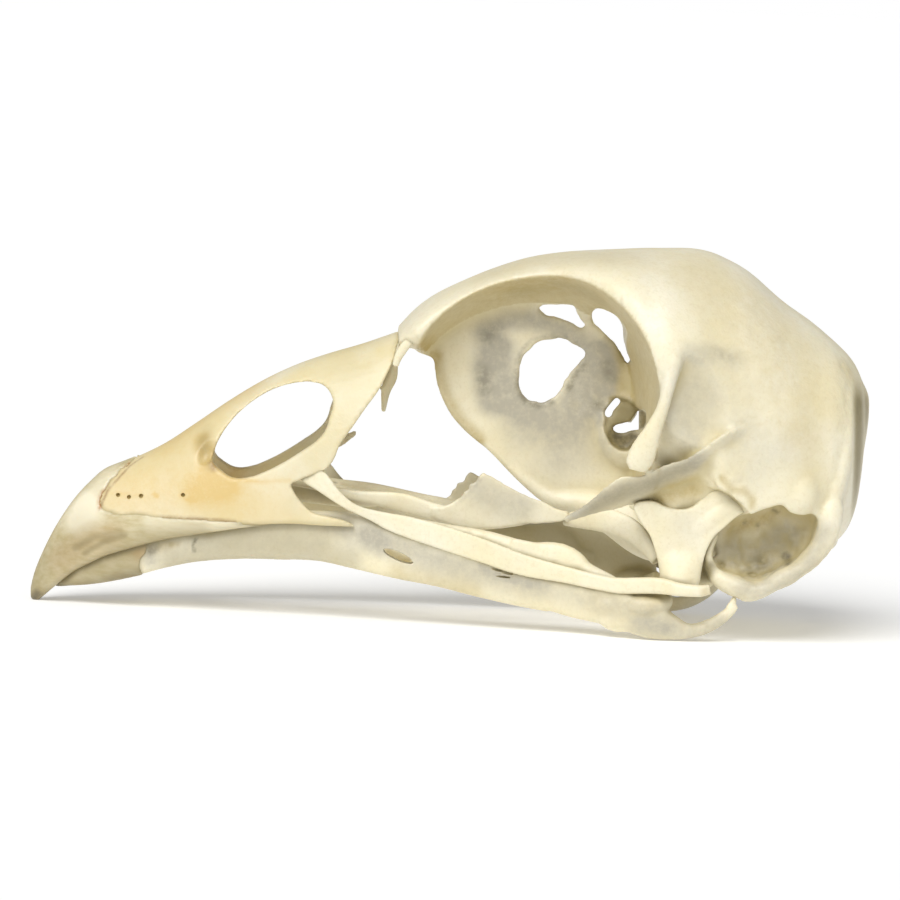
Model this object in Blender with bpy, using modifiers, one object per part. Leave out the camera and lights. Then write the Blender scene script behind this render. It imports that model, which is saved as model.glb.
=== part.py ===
"""Skull of a wild turkey, life size, resting on its lower jaw and the tip of its bill.

The bones are laid out in millimetres in the skull's own side view: x runs back from the
tip of the bill, y out to the right-hand side of the bird and z up. The empty that carries
them tips the skull until bill tip and jaw angles stand level, and puts the middle of its
footprint at the origin. Every list of stations or corners below is in those millimetres.
"""
import math

import bmesh
import bpy
import numpy as np
from mathutils import Matrix, Vector

MM = 0.001

# Driving sizes, in millimetres
SKULL_LENGTH = 102.8         # bill tip to the back of the head
SKULL_TOP = 43.4             # crown above the bill tip
WIDTH_BEHIND_EYES = 37.0     # over the postorbital processes
WIDTH_BETWEEN_EYES = 15.4    # narrowest part of the forehead
HINGE_X = 44.6               # flexible line between bill and forehead
BRIDGE_WIDTH = 8.8           # bony bridge between the nostrils, at its rear
SEPTUM_THICK = 0.9
CUT = 0.3                    # clearance between two bones
REST_TILT = 2.6              # degrees that the back of the head is lifted to stand level

LEFT, RIGHT = -1, 1
SIDES = (("left", LEFT), ("right", RIGHT))

BONE = ((0.86, 0.77, 0.56), 0.45)
BILL_BONE = ((0.83, 0.71, 0.46), 0.45)
THIN_BONE = ((0.74, 0.68, 0.54), 0.5)
HORN = ((0.42, 0.34, 0.23), 0.35)


# ---------------------------------------------------------------- building blocks

def eased(rows, steps):
    """The rows, with steps - 1 more on a smooth curve between each two."""
    rows = np.array(rows, float)
    run = np.vstack([2 * rows[0] - rows[1], rows, 2 * rows[-1] - rows[-2]])
    out = []
    for a, b, c, d in zip(run, run[1:], run[2:], run[3:]):
        for t in np.arange(steps) / steps:
            bend = (2 * a - 5 * b + 4 * c - d) * t ** 2 + (3 * b - a - 3 * c + d) * t ** 3
            out.append(b + 0.5 * ((c - a) * t + bend))
    out.append(rows[-1])
    return np.array(out)


def oval(sides, power):
    """Corners of a unit superellipse: power 2 is round, more is squarer."""
    corners = []
    for step in range(sides):
        angle = 2 * math.pi * (step + 0.5) / sides
        c, s = math.cos(angle), math.sin(angle)
        corners.append((math.copysign(abs(c) ** (2 / power), c), math.copysign(abs(s) ** (2 / power), s)))
    return corners


def new_object(name, mesh):
    made = bpy.data.objects.new(name, mesh)
    workshop.objects.link(made)
    return made


def from_bmesh(name, shape):
    bmesh.ops.recalc_face_normals(shape, faces=shape.faces)
    mesh = bpy.data.meshes.new(name)
    shape.to_mesh(mesh)
    shape.free()
    return new_object(name, mesh)


def loft(name, rings):
    """A closed skin over rings of corners, each ring with the same number of corners."""
    shape = bmesh.new()
    before = []
    for ring in rings:
        verts = bmesh.ops.create_circle(shape, segments=len(ring), radius=MM)["verts"]
        edges = list({edge for vert in verts for edge in vert.link_edges})
        for vert, corner in zip(verts, ring):
            vert.co = Vector(corner) * MM
        if before:
            bmesh.ops.bridge_loops(shape, edges=before + edges)
        before = edges
    bmesh.ops.holes_fill(shape, edges=shape.edges, sides=0)
    return from_bmesh(name, shape)


def hull(name, stations, sides=28, steps=3):
    """A loft along x. Station: x, lowest z, widest z, top z, half width, low power, top power."""
    rings = []
    for x, low, wide, top, half, p_low, p_top in eased(stations, steps):
        ring = []
        for step in range(sides):
            angle = 2 * math.pi * (step + 0.5) / sides
            c, s = math.cos(angle), math.sin(angle)
            power, reach = (p_top, top - wide) if s > 0 else (p_low, wide - low)
            ring.append((x, half * math.copysign(abs(c) ** (2 / power), c),
                         wide + reach * math.copysign(abs(s) ** (2 / power), s)))
        rings.append(ring)
    return loft(name, rings)


def sweep(name, side, stations, sides=10, steps=3, power=2.0, up=(0, 0, 1)):
    """A bar through stations of x, distance out, z, half width and half height."""
    rows = eased(stations, steps)
    path = rows[:, :3] * (1, side, 1)
    along = np.gradient(path, axis=0)
    rings = []
    for centre, run, (wide, high) in zip(path, along, rows[:, 3:5]):
        run = Vector(run).normalized()
        across = Vector(up).cross(run).normalized()
        over = run.cross(across)
        rings.append([Vector(centre) + across * (c * wide) + over * (s * high)
                      for c, s in oval(sides, power)])
    return loft(name, rings)


def plate(name, outline, near, far, smooth=True):
    """A flat slab with the outline's (x, z) corners, from y = near to y = far."""
    curve = bpy.data.curves.new(name, "CURVE")
    curve.dimensions = "2D"
    curve.fill_mode = "BOTH"
    curve.extrude = abs(far - near) * MM / 2
    curve.resolution_u = 3 if smooth else 1
    spline = curve.splines.new("BEZIER")
    spline.bezier_points.add(len(outline) - 1)
    for point, (x, z) in zip(spline.bezier_points, outline):
        point.co = (x * MM, z * MM, 0)
        point.handle_left_type = point.handle_right_type = "AUTO" if smooth else "VECTOR"
    spline.use_cyclic_u = True
    drawn = new_object(name + "_drawn", curve)
    bpy.context.view_layer.update()
    mesh = bpy.data.meshes.new_from_object(drawn.evaluated_get(bpy.context.evaluated_depsgraph_get()))
    bpy.data.objects.remove(drawn)
    shape = bmesh.new()
    shape.from_mesh(mesh)
    bmesh.ops.remove_doubles(shape, verts=shape.verts, dist=MM * 0.01)
    stand_up = Matrix.Translation((0, (near + far) * MM / 2, 0)) @ Matrix.Rotation(math.pi / 2, 4, "X")
    bmesh.ops.transform(shape, matrix=stand_up, verts=shape.verts)
    return from_bmesh(name, shape)


def ball(name, centre, radii, lean=0.0, segments=24):
    """An ellipsoid, leaning forward by so many degrees about the y axis."""
    shape = bmesh.new()
    place = (Matrix.Translation(Vector(centre) * MM) @ Matrix.Rotation(math.radians(lean), 4, "Y")
             @ Matrix.Diagonal((*radii, 1)))
    bmesh.ops.create_uvsphere(shape, u_segments=segments, v_segments=segments // 2, radius=MM, matrix=place)
    return from_bmesh(name, shape)


def both(make, name, *details, **more):
    """The same shape on the left and on the right."""
    return [make(f"{name}_{word}", side, *details, **more) for word, side in SIDES]


def shifted(line, amount):
    """An open line of (x, z) corners, moved sideways to its right by the amount."""
    line = np.array(line, float)
    along = np.gradient(line, axis=0)
    aside = np.stack([along[:, 1], -along[:, 0]], axis=1)
    aside /= np.linalg.norm(aside, axis=1, keepdims=True)
    return [tuple(spot) for spot in line + aside * amount]


def settle(body, steps):
    """Applies (operation, cutters) pairs to a body, in order, and removes the cutters."""
    for operation, cutters in steps:
        for cutter in cutters:
            boolean = body.modifiers.new(cutter.name, "BOOLEAN")
            boolean.operation = operation
            boolean.object = cutter
            boolean.solver = "EXACT"
            freeze(body)
            bpy.data.objects.remove(cutter)
    return body


def freeze(body):
    """Replaces a body's mesh by what its modifiers make of it."""
    bpy.context.view_layer.update()
    solved = body.evaluated_get(bpy.context.evaluated_depsgraph_get())
    mesh = bpy.data.meshes.new_from_object(solved)
    body.modifiers.clear()
    body.data = mesh


def grow(bodies, voxel, faces, rounds=4):
    """Fuses overlapping bodies into one smooth bone of about that many triangles."""
    shape = bmesh.new()
    for body in bodies:
        shape.from_mesh(body.data)
    fused = bodies[0]
    for body in bodies[1:]:
        bpy.data.objects.remove(body)
    mesh = bpy.data.meshes.new(fused.name)
    shape.to_mesh(mesh)
    shape.free()
    fused.data = mesh
    remesh = fused.modifiers.new("fuse", "REMESH")
    remesh.mode = "VOXEL"
    remesh.voxel_size = voxel * MM
    soften = fused.modifiers.new("soften", "SMOOTH")
    soften.factor = 0.5
    soften.iterations = rounds
    freeze(fused)
    thin = fused.modifiers.new("thin", "DECIMATE")
    thin.ratio = faces / sum(len(face.vertices) - 2 for face in fused.data.polygons)
    freeze(fused)
    return fused


def swollen(body, amount):
    """A copy of a body, grown outward by the amount."""
    copy = new_object(body.name + "_room", body.data.copy())
    push = copy.modifiers.new("grow", "DISPLACE")
    push.mid_level = 0.0
    push.strength = amount * MM
    freeze(copy)
    return copy


def largest(body):
    """Deletes all but the biggest loose piece of a body."""
    shape = bmesh.new()
    shape.from_mesh(body.data)
    left = set(shape.verts)
    pieces = []
    while left:
        piece, front = set(), [left.pop()]
        while front:
            vert = front.pop()
            piece.add(vert)
            linked = {edge.other_vert(vert) for edge in vert.link_edges} & left
            left -= linked
            front.extend(linked)
        pieces.append(piece)
    for piece in sorted(pieces, key=len)[:-1]:
        bmesh.ops.delete(shape, geom=list(piece), context="VERTS")
    shape.to_mesh(body.data)
    shape.free()


def part(body, name, keep=None, lose=()):
    """A named copy of a body, cut to the keep shapes and clear of the lose shapes."""
    piece = new_object(name, body.data.copy())
    if keep:
        settle(piece, [("INTERSECT", [keep])])
    settle(piece, [("DIFFERENCE", list(lose))])
    largest(piece)
    return piece


def clear_of(body, *neighbours):
    """Cuts a body back until it stands off its neighbours by the clearance."""
    settle(body, [("DIFFERENCE", [swollen(neighbour, CUT) for neighbour in neighbours])])
    largest(body)


def paint(body, finish):
    """Gives a bone its material."""
    colour, rough = finish
    material = bpy.data.materials.new(body.name)
    material.use_nodes = True
    shader = material.node_tree.nodes["Principled BSDF"]
    shader.inputs["Base Color"].default_value = (*colour, 1)
    shader.inputs["Roughness"].default_value = rough
    shader.inputs["Metallic"].default_value = 0.0
    body.data.materials.clear()
    body.data.materials.append(material)
    body.data.shade_smooth()


# ---------------------------------------------------------------- cranium

def orbit(side):
    """The eye socket as a bowl, from the septum out: distance out, front x, rear x, top z."""
    stations = [(SEPTUM_THICK / 2, 46.0, 73.5, 36.4), (2.0, 45.5, 74.0, 37.4), (4.5, 45.0, 74.4, 38.4),
                (7.7, 44.6, 74.8, 39.4), (11.0, 44.2, 75.2, 40.3), (15.0, 43.8, 75.8, 40.6),
                (18.5, 43.4, 76.4, 40.6), (24.0, 43.0, 77.4, 41.4)]
    middle_x, middle_z, floor = 62.0, 24.0, -8.0
    corners = 22
    rings = []
    for out, front, rear, top in eased(stations, 2):
        ring = []
        for step in range(corners + 1):
            angle = math.pi * step / corners
            c, s = math.cos(angle), math.sin(angle)
            reach = rear - middle_x if c > 0 else middle_x - front
            ring.append((middle_x + math.copysign(reach * abs(c) ** (2 / 2.4), c), side * out,
                         middle_z + (top - middle_z) * s ** (2 / 2.4)))
        ring += [(front, side * out, floor), (rear, side * out, floor)]
        rings.append(ring)
    return loft(f"orbit_{side}", rings)


def postorbital(name, side):
    """The spur behind the eye that meets the zygomatic process."""
    return sweep(name, side, [(77.8, 17.2, 31.0, 1.1, 1.2), (77.1, 17.8, 28.0, 1.0, 0.9),
                              (76.4, 18.1, 25.2, 0.8, 0.8), (75.3, 18.1, 22.6, 0.8, 1.1),
                              (74.3, 17.9, 20.4, 0.8, 1.6), (73.6, 17.6, 18.8, 0.8, 1.7),
                              (73.3, 17.4, 18.0, 0.6, 1.1)], up=(1, 0, 0))


def zygomatic(name, side):
    """The long flat bar from the temple forward to the palate."""
    return sweep(name, side, [(86.5, 14.8, 19.8, 1.5, 3.0), (83.4, 16.2, 19.7, 1.1, 2.8),
                              (80.6, 16.8, 18.6, 0.8, 1.9), (77.5, 16.9, 16.9, 0.7, 1.8),
                              (74.0, 16.7, 15.6, 0.7, 2.0), (71.4, 16.2, 15.0, 0.6, 2.1),
                              (69.2, 15.5, 13.4, 0.6, 1.2), (66.8, 14.8, 12.1, 0.5, 0.8),
                              (64.9, 14.2, 11.0, 0.4, 0.4)])


def ear_rim(name, side):
    """The raised wing of bone round the ear opening."""
    return sweep(name, side, [(82.6, 11.5, 4.6, 0.9, 1.0), (84.6, 13.2, 3.4, 1.1, 1.1),
                              (87.3, 13.6, 2.3, 1.2, 1.2), (90.2, 13.6, 2.9, 1.2, 1.2),
                              (92.6, 13.8, 4.6, 1.1, 1.0), (95.0, 13.8, 6.2, 1.1, 1.1),
                              (96.7, 13.6, 8.8, 1.1, 1.2), (97.2, 13.7, 11.6, 1.2, 1.2),
                              (95.6, 14.2, 13.4, 1.3, 1.2), (93.0, 14.8, 13.6, 1.4, 1.3),
                              (90.0, 15.0, 14.4, 1.3, 1.3)], up=(0, 1, 0))


def ear_floor(name, side):
    """The thin sheet between the base of the skull and the lower edge of the ear opening."""
    return sweep(name, side, [(82.8, 10.6, 4.8, 1.6, 0.6), (85.0, 11.0, 3.8, 2.2, 0.7),
                              (88.0, 11.2, 3.2, 2.6, 0.7), (91.0, 11.4, 3.8, 2.6, 0.7),
                              (93.8, 11.6, 5.6, 2.4, 0.7), (95.8, 12.0, 8.0, 2.0, 0.8)])


def neck_crest(name, side):
    """Half of the ridge round the back of the head."""
    return sweep(name, side, [(97.0, 13.2, 12.5, 0.9, 0.9), (98.9, 13.0, 17.5, 0.8, 0.8),
                              (99.5, 11.9, 22.5, 0.8, 0.8), (99.7, 9.2, 27.0, 0.7, 0.7),
                              (99.8, 5.2, 29.4, 0.7, 0.7), (99.9, 0.0, 30.0, 0.7, 0.7)], up=(1, 0, 0))


def make_cranium():
    """Forehead, eye sockets, septum and braincase, grown as one."""
    top = SKULL_TOP
    eyes = WIDTH_BETWEEN_EYES / 2
    wide = WIDTH_BEHIND_EYES / 2
    back = SKULL_LENGTH
    head = hull("cranium", [
        (HINGE_X + 0.2, 31.4, 32.2, 33.7, 6.4, 2.0, 2.4), (47.0, 31.0, 33.6, 36.0, 9.3, 2.0, 2.0),
        (49.5, 30.0, 35.6, 37.8, 9.0, 2.0, 1.9), (53.0, 29.5, 37.6, 39.5, 8.2, 2.0, 1.8),
        (57.0, 29.5, 39.3, 41.1, eyes, 2.0, 1.8), (61.0, 29.0, 40.2, 42.3, eyes, 2.0, 1.8),
        (65.0, 28.0, 40.5, 42.9, 9.0, 2.0, 1.9), (68.0, 25.0, 39.8, 43.1, 11.2, 2.0, 2.0),
        (70.5, 20.0, 38.2, 43.2, 13.4, 1.8, 2.1), (73.0, 12.0, 34.5, top - 0.1, 15.8, 1.5, 2.2),
        (75.0, 8.0, 31.0, top, 17.4, 1.4, 2.1), (77.3, 6.4, 28.0, top, wide, 1.4, 2.1),
        (80.5, 5.4, 26.0, top, wide - 0.3, 1.5, 2.0), (82.6, 4.7, 25.0, 43.1, wide - 1.2, 1.9, 2.0),
        (84.6, 4.0, 24.2, 42.4, wide - 1.7, 3.4, 2.0), (88.0, 3.6, 23.0, 40.5, wide - 2.0, 4.2, 2.0),
        (92.0, 4.0, 21.6, 37.0, wide - 2.5, 3.8, 2.0), (95.5, 5.2, 20.8, 34.5, wide - 3.7, 3.0, 2.0),
        (98.0, 6.8, 20.5, 32.4, 13.8, 2.6, 2.1), (99.8, 8.4, 20.5, 30.7, 11.8, 2.3, 2.1),
        (100.8, 10.6, 20.8, 29.5, 9.8, 2.3, 2.1), (101.4, 13.6, 21.4, 28.4, 8.0, 2.3, 2.2),
        (101.9, 17.4, 22.2, 27.2, 5.8, 2.2, 2.2), (102.5, 20.6, 23.4, 26.0, 3.6, 2.0, 2.0),
        (back, 23.2, 24.2, 25.2, 1.4, 2.0, 2.0)], sides=40)
    septum = plate("septum", [
        (45.6, 31.6), (47.1, 30.8), (48.8, 29.9), (49.2, 26.8), (50.8, 23.4), (52.7, 20.7),
        (56.1, 18.4), (59.2, 15.4), (63.7, 12.0), (70.0, 9.0), (78.0, 9.0), (78.0, 36.0),
        (66.0, 39.0), (50.0, 36.0)], -SEPTUM_THICK / 2, SEPTUM_THICK / 2)
    keel = sweep("keel", LEFT, [
        (50.0, 0, 24.2, 0.5, 0.6), (54.5, 0, 19.4, 0.5, 0.6), (59.5, 0, 14.9, 0.8, 0.8),
        (63.5, 0, 12.6, 1.2, 1.0), (67.0, 0, 12.0, 1.6, 1.5), (71.0, 0, 10.6, 2.6, 2.6),
        (76.0, 0, 9.0, 5.0, 4.2), (82.0, 0, 8.0, 6.5, 4.2)])
    window = plate("window", [
        (59.8, 26.5), (60.0, 30.0), (62.3, 32.1), (65.6, 32.2), (68.2, 30.6), (66.5, 28.7),
        (64.1, 25.5), (61.6, 24.3)], -3, 3)
    front_gap = plate("front_gap", [
        (62.4, 36.2), (64.6, 36.6), (66.4, 36.6), (67.2, 34.9), (68.0, 33.9), (65.6, 34.6)], -3, 3)
    rear_gap = plate("rear_gap", [
        (68.3, 35.8), (70.9, 35.6), (72.5, 33.2), (73.0, 29.8), (71.9, 30.0), (69.8, 33.2)], -7, 7)
    nerve_hole = plate("nerve_hole", [
        (71.2, 24.0), (73.6, 23.8), (75.2, 22.2), (74.6, 20.0), (73.4, 18.6), (71.2, 20.2)], -5, 5)
    hollows = [orbit(LEFT), orbit(RIGHT), ball("spine_hole", (100.6, 0, 12.4), (7.5, 4.3, 3.7), 30)]
    for side in (LEFT, RIGHT):
        hollows.append(ball(f"temple_{side}", (81.2, side * 20.0, 24.5), (5.4, 3.6, 8.0), 8))
        hollows.append(ball(f"ear_{side}", (88.8, side * 15.2, 8.2), (6.6, 6.4, 4.8), -12))
        hollows.append(ball(f"jaw_room_{side}", (80.2, side * 15.6, 9.0), (7.6, 5.2, 6.8)))
        hollows.append(ball(f"under_ear_{side}", (98.0, side * 8.8, 4.4), (5.4, 3.4, 5.0), 20))
    settle(head, [
        ("DIFFERENCE", hollows),
        ("UNION", [septum, keel]),
        ("DIFFERENCE", [window, front_gap, rear_gap, nerve_hole])])
    extras = []
    for make, name in ((postorbital, "postorbital"), (zygomatic, "zygomatic"), (ear_rim, "ear_rim"),
                       (ear_floor, "ear_floor"), (neck_crest, "neck_crest")):
        extras += both(make, name)
    extras.append(ball("condyle", (97.3, 0, 7.4), (1.9, 2.0, 1.6)))
    return grow([head] + extras, 0.35, 2450)


def split_cranium(cranium):
    """Parts the cranium into forehead, septum and braincase with thin cuts."""
    seam = 70.6
    reach = 30
    septum_area = [(44.0, 30.6), (48.0, 31.6), (52.0, 33.6), (58.0, 35.0), (seam - CUT / 2, 35.2),
                   (seam - CUT / 2, -10.0), (44.0, -10.0)]
    around = [(43.0, 30.9), (48.0, 31.95), (52.0, 33.95), (58.0, 35.35), (seam + 1.0, 35.55),
              (seam + 1.0, -11.0), (43.0, -11.0)]
    behind = [(seam + CUT / 2, -20), (seam + CUT / 2, 60), (130, 60), (130, -20)]
    ahead = [(seam - CUT / 2, 24), (seam - CUT / 2, 60), (20, 60), (20, 24)]
    cheek = [(40, -20), (40, 22), (seam + 1, 22), (seam + 1, -20)]
    septum = part(cranium, "interorbital_septum", plate("a", septum_area, -3, 3, smooth=False))
    forehead = part(cranium, "forehead", plate("b", ahead, -reach, reach, smooth=False),
                    [plate("c", around, -3.3, 3.3, smooth=False)])
    rear = plate("d", behind, -reach, reach, smooth=False)
    settle(rear, [("UNION", [plate(f"e_{side}", cheek, side * 3.3, side * (reach - 1), smooth=False)
                             for side in (LEFT, RIGHT)])])
    braincase = part(cranium, "braincase", rear)
    bpy.data.objects.remove(cranium)
    return forehead, septum, braincase


# ---------------------------------------------------------------- bill

def make_bill():
    """The whole upper jaw as one arched shell with its nostrils."""
    shell = hull("bill", [
        (-0.45, 0.3, 0.8, 1.7, 0.3, 2, 2), (0.0, 0.0, 1.0, 3.4, 0.8, 2, 2),
        (0.7, 0.5, 1.6, 5.2, 1.3, 2.4, 1.9), (2.1, 1.7, 2.8, 8.1, 2.3, 3, 1.9),
        (3.6, 2.9, 4.0, 10.6, 3.1, 3, 1.9), (5.2, 4.0, 5.1, 12.8, 3.8, 3, 1.9),
        (6.9, 4.9, 6.0, 14.6, 4.5, 3, 1.9), (8.8, 5.8, 6.9, 16.2, 5.1, 3, 1.9),
        (12.0, 6.8, 7.9, 17.5, 6.0, 3, 1.9), (16.0, 7.9, 9.0, 19.4, 6.9, 3, 1.9),
        (20.0, 8.6, 9.7, 22.0, 7.8, 3, 2.0), (24.0, 9.2, 10.3, 24.7, 8.4, 3, 2.0),
        (28.0, 9.7, 10.8, 27.1, 9.1, 3, 2.0), (32.0, 9.8, 11.0, 29.0, 9.7, 3, 2.1),
        (36.0, 9.5, 11.0, 30.4, 10.3, 3, 2.2), (40.5, 9.3, 11.0, 31.7, 10.6, 3, 2.3),
        (HINGE_X - 0.1, 9.3, 11.0, 32.9, 10.4, 3, 2.5)], sides=32)
    cavity = hull("cavity", [
        (19.0, -4, 10, 15.0, 1.5, 2, 2), (20.6, -4, 10, 18.6, 4.4, 3, 2), (23.0, -4, 10, 21.2, 6.6, 3, 2),
        (28.0, -4, 10, 24.9, 7.9, 3, 2), (33.0, -4, 10, 27.2, 8.6, 3, 2.1), (38.0, -4, 10, 28.8, 9.2, 3, 2.2),
        (46.0, -4, 10, 31.2, 9.4, 3, 2.5)], sides=24)
    mouth = hull("mouth", [
        (1.6, -6, 0, 2.6, 0.5, 3, 2), (4.0, -6, 1, 5.4, 2.1, 3, 2), (8.0, -6, 2, 8.2, 3.6, 3, 2),
        (12.0, -6, 3, 10.0, 4.8, 3, 2), (16.0, -6, 4, 11.3, 5.7, 3, 2), (20.0, -6, 5, 12.3, 6.6, 3, 2),
        (25.0, -6, 6, 13.0, 7.3, 3, 2), (30.0, -6, 6, 13.0, 7.9, 3, 2)], sides=24)
    rear_edge = [(24.9, 23.3), (28.8, 25.6), (32.4, 27.1), (34.6, 27.3), (36.2, 26.0), (36.5, 24.2),
                 (34.9, 21.0), (31.6, 18.4), (27.9, 16.7), (24.7, 15.9)]
    nostril = [plate("nostril", [(22.5, 19.5), (23.3, 21.4)] + rear_edge + [(23.0, 17.2)], -14, 14)]
    pit = [(20.3, 19.2), (21.2, 20.9), (23.3, 21.8)] + rear_edge[:1] + rear_edge[-1:] + [(22.0, 17.2)]
    nostril += [plate(f"pit_{side}", pit, side * 3.0, side * 14) for side in (LEFT, RIGHT)]
    behind = plate("behind", [
        (44.9, 31.4), (42.8, 26.6), (39.5, 23.2), (38.0, 21.2), (37.3, 18.6), (36.2, 17.4), (34.0, 16.2),
        (31.9, 15.0), (32.1, 13.8), (33.2, 12.4), (34.6, 11.7), (36.8, 10.9), (40.5, 9.5), (43.0, 8.0),
        (60.0, 8.0), (60.0, 31.4)], -14, 14)
    settle(shell, [("DIFFERENCE", [cavity, mouth, *nostril, behind])])
    hook = sweep("hook", RIGHT, [(35.6, 9.6, 18.6, 0.6, 0.7), (37.4, 9.8, 18.8, 0.6, 0.7),
                                 (38.8, 9.9, 19.1, 0.5, 0.5), (39.9, 9.9, 18.8, 0.4, 0.3)])
    return grow([shell, hook], 0.3, 1000, rounds=3)


def split_bill(bill):
    """Parts the bill into its horn tip, the premaxilla, the bridge, the nasals and the maxillas."""
    horn_line = [(14.5, 19.5), (12.1, 17.2), (10.7, 16.3), (9.5, 15.1), (8.8, 13.9), (8.4, 12.0),
                 (9.6, 11.3), (15.7, 10.9), (20.6, 10.6), (25.0, 10.4), (29.6, 10.0)]
    below = [(29.8, 4.0), (-6.0, -6.0), (-6.0, 24.0)]
    wall, open_end = 20, 60
    horn = part(bill, "upper_horn", plate("a", horn_line + below, -wall, wall, smooth=False))
    bone = part(bill, "bone", None, [
        plate("b", shifted(horn_line, -CUT) + below, -wall, wall, smooth=False)])
    snout_line = [(23.4, -open_end), (23.4, 13.0), (23.8, 16.0), (25.5, 19.5), (24.6, 21.6), (23.2, 25.0),
                  (23.2, open_end)]
    premaxilla = part(bone, "premaxilla", plate(
        "c", shifted(snout_line, -CUT / 2) + [(-open_end, open_end), (-open_end, -open_end)],
        -wall, wall, smooth=False))
    rest = part(bone, "rest", plate(
        "d", shifted(snout_line, CUT / 2) + [(open_end, open_end), (open_end, -open_end)],
        -wall, wall, smooth=False))
    over = [(22.0, 20.0), (34.6, 23.4), (open_end, 23.4), (open_end, open_end), (22.0, open_end)]
    under = [(20.0, 19.7), (30.0, 19.7), (34.4, 23.1), (37.4, 20.1), (open_end, 20.1),
             (open_end, -open_end), (20.0, -open_end)]
    beside = [(34.6, 24.0), (34.6, open_end), (open_end, open_end), (open_end, 20.4), (37.4, 20.4),
              (34.6, 23.4)]
    ridge = BRIDGE_WIDTH / 2
    pieces = [horn, premaxilla]
    for word, side in SIDES:
        outer = (side * (ridge + CUT / 2), side * wall)
        pieces.append(part(rest, f"nasal_{word}", plate("g", beside, *outer, smooth=False)))
        pieces.append(part(rest, f"maxilla_{word}", plate("h", under, side * 0.2, side * wall, smooth=False)))
    side_walls = [plate(f"i_{side}", shifted(beside[-1:] + beside[:2], -CUT) + beside[2:4] + [(33.0, 20.4)],
                        side * (ridge - CUT / 2), side * wall, smooth=False) for side in (LEFT, RIGHT)]
    pieces.insert(2, part(rest, "bill_bridge", plate("f", over, -wall + 1, wall - 1, smooth=False), side_walls))
    for used in (rest, bone, bill):
        bpy.data.objects.remove(used)
    return pieces


# ---------------------------------------------------------------- lower jaw

def ramus(name, side):
    """One half of the lower jaw, from the chin to the spur behind the hinge."""
    return sweep(name, side, [
        (3.0, 0.6, 2.9, 0.6, 0.9), (5.0, 1.9, 3.4, 0.7, 1.3), (8.0, 2.9, 4.3, 0.8, 1.8),
        (12.0, 4.1, 5.6, 0.8, 2.2), (16.0, 4.9, 6.9, 0.8, 2.4), (20.0, 5.6, 8.0, 0.8, 2.7),
        (25.0, 6.3, 8.6, 0.8, 2.9), (30.0, 7.0, 8.8, 0.8, 3.1), (35.0, 7.7, 8.7, 0.85, 3.1),
        (40.0, 8.4, 8.15, 0.9, 3.55), (45.0, 9.1, 7.35, 0.95, 3.85), (50.0, 9.8, 6.5, 1.0, 3.9),
        (55.0, 10.5, 5.5, 1.1, 4.1), (60.0, 11.1, 4.3, 1.1, 4.0), (63.8, 11.6, 3.9, 1.1, 4.3),
        (66.4, 12.1, 2.6, 1.2, 3.6), (69.5, 12.9, 1.5, 1.4, 3.1), (73.0, 13.8, 0.0, 2.0, 2.4),
        (76.5, 14.1, -0.9, 2.2, 2.3), (79.0, 14.2, -2.2, 1.3, 1.2), (81.5, 14.1, -2.0, 1.0, 1.2),
        (84.0, 13.9, -0.7, 0.8, 1.1), (85.8, 13.7, 0.7, 0.6, 0.7)], sides=14, power=2.4)


def make_jaw():
    """The lower jaw as one bone."""
    jaw = both(ramus, "ramus")
    jaw.append(hull("chin", [
        (2.6, 1.8, 2.2, 2.8, 0.7, 2, 2), (4.0, 1.9, 2.6, 3.6, 2.0, 2, 2), (8.0, 2.5, 3.3, 4.2, 3.3, 2, 2),
        (12.0, 3.4, 4.4, 5.4, 4.4, 2, 2), (15.0, 4.4, 5.4, 6.4, 4.9, 2, 2), (17.4, 5.3, 6.2, 7.0, 5.0, 2, 2),
        (18.6, 5.9, 6.5, 7.0, 4.8, 2, 2)],
        sides=20))
    jaw += [ball(f"socket_{side}", (74.6, side * 13.0, 1.0), (3.4, 3.6, 1.7), -4) for side in (LEFT, RIGHT)]
    jaw += both(sweep, "inner_wall", [(60.5, 10.5, 6.4, 0.5, 1.6), (64.0, 11.0, 6.2, 0.6, 2.0),
                                      (67.5, 11.5, 4.9, 0.6, 2.1), (71.0, 12.3, 3.2, 0.6, 1.8),
                                      (73.5, 12.9, 1.9, 0.6, 1.2)])
    jaw += both(sweep, "inner_spur", [(75.2, 12.0, 0.6, 1.2, 1.2), (76.2, 9.6, 1.0, 1.0, 1.0),
                                      (77.2, 7.2, 2.0, 0.7, 0.6)], up=(1, 0, 0))
    jaw = grow(jaw, 0.3, 1050, rounds=3)
    slits = []
    for side in (LEFT, RIGHT):
        slits.append(ball(f"slit_{side}", (44.7, side * 9.2, 6.5), (2.0, 4.0, 0.5), 28, segments=8))
        slits.append(ball(f"pit_{side}", (57.8, side * 10.9, 4.0), (1.6, 4.0, 0.45), 20, segments=8))
    settle(jaw, [("DIFFERENCE", slits)])
    edge = [(14.2, -6.0), (14.2, 4.2), (15.4, 5.6), (18.0, 7.2), (20.4, 9.4), (20.6, 20.0)]
    tip = [(-8.0, 20.0), (-8.0, -6.0)]
    rest = [(30.0, 20.0), (140.0, 20.0), (140.0, -20.0), (14.2 + CUT, -20.0)]
    horn = part(jaw, "lower_horn", plate("a", edge + tip, -20, 20, smooth=False))
    back = [(x + CUT, z) for x, z in edge]
    mandible = part(jaw, "mandible", plate("b", back + rest, -40, 40, smooth=False))
    bpy.data.objects.remove(jaw)
    return horn, mandible


# ---------------------------------------------------------------- cheek, palate and jaw joint

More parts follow.
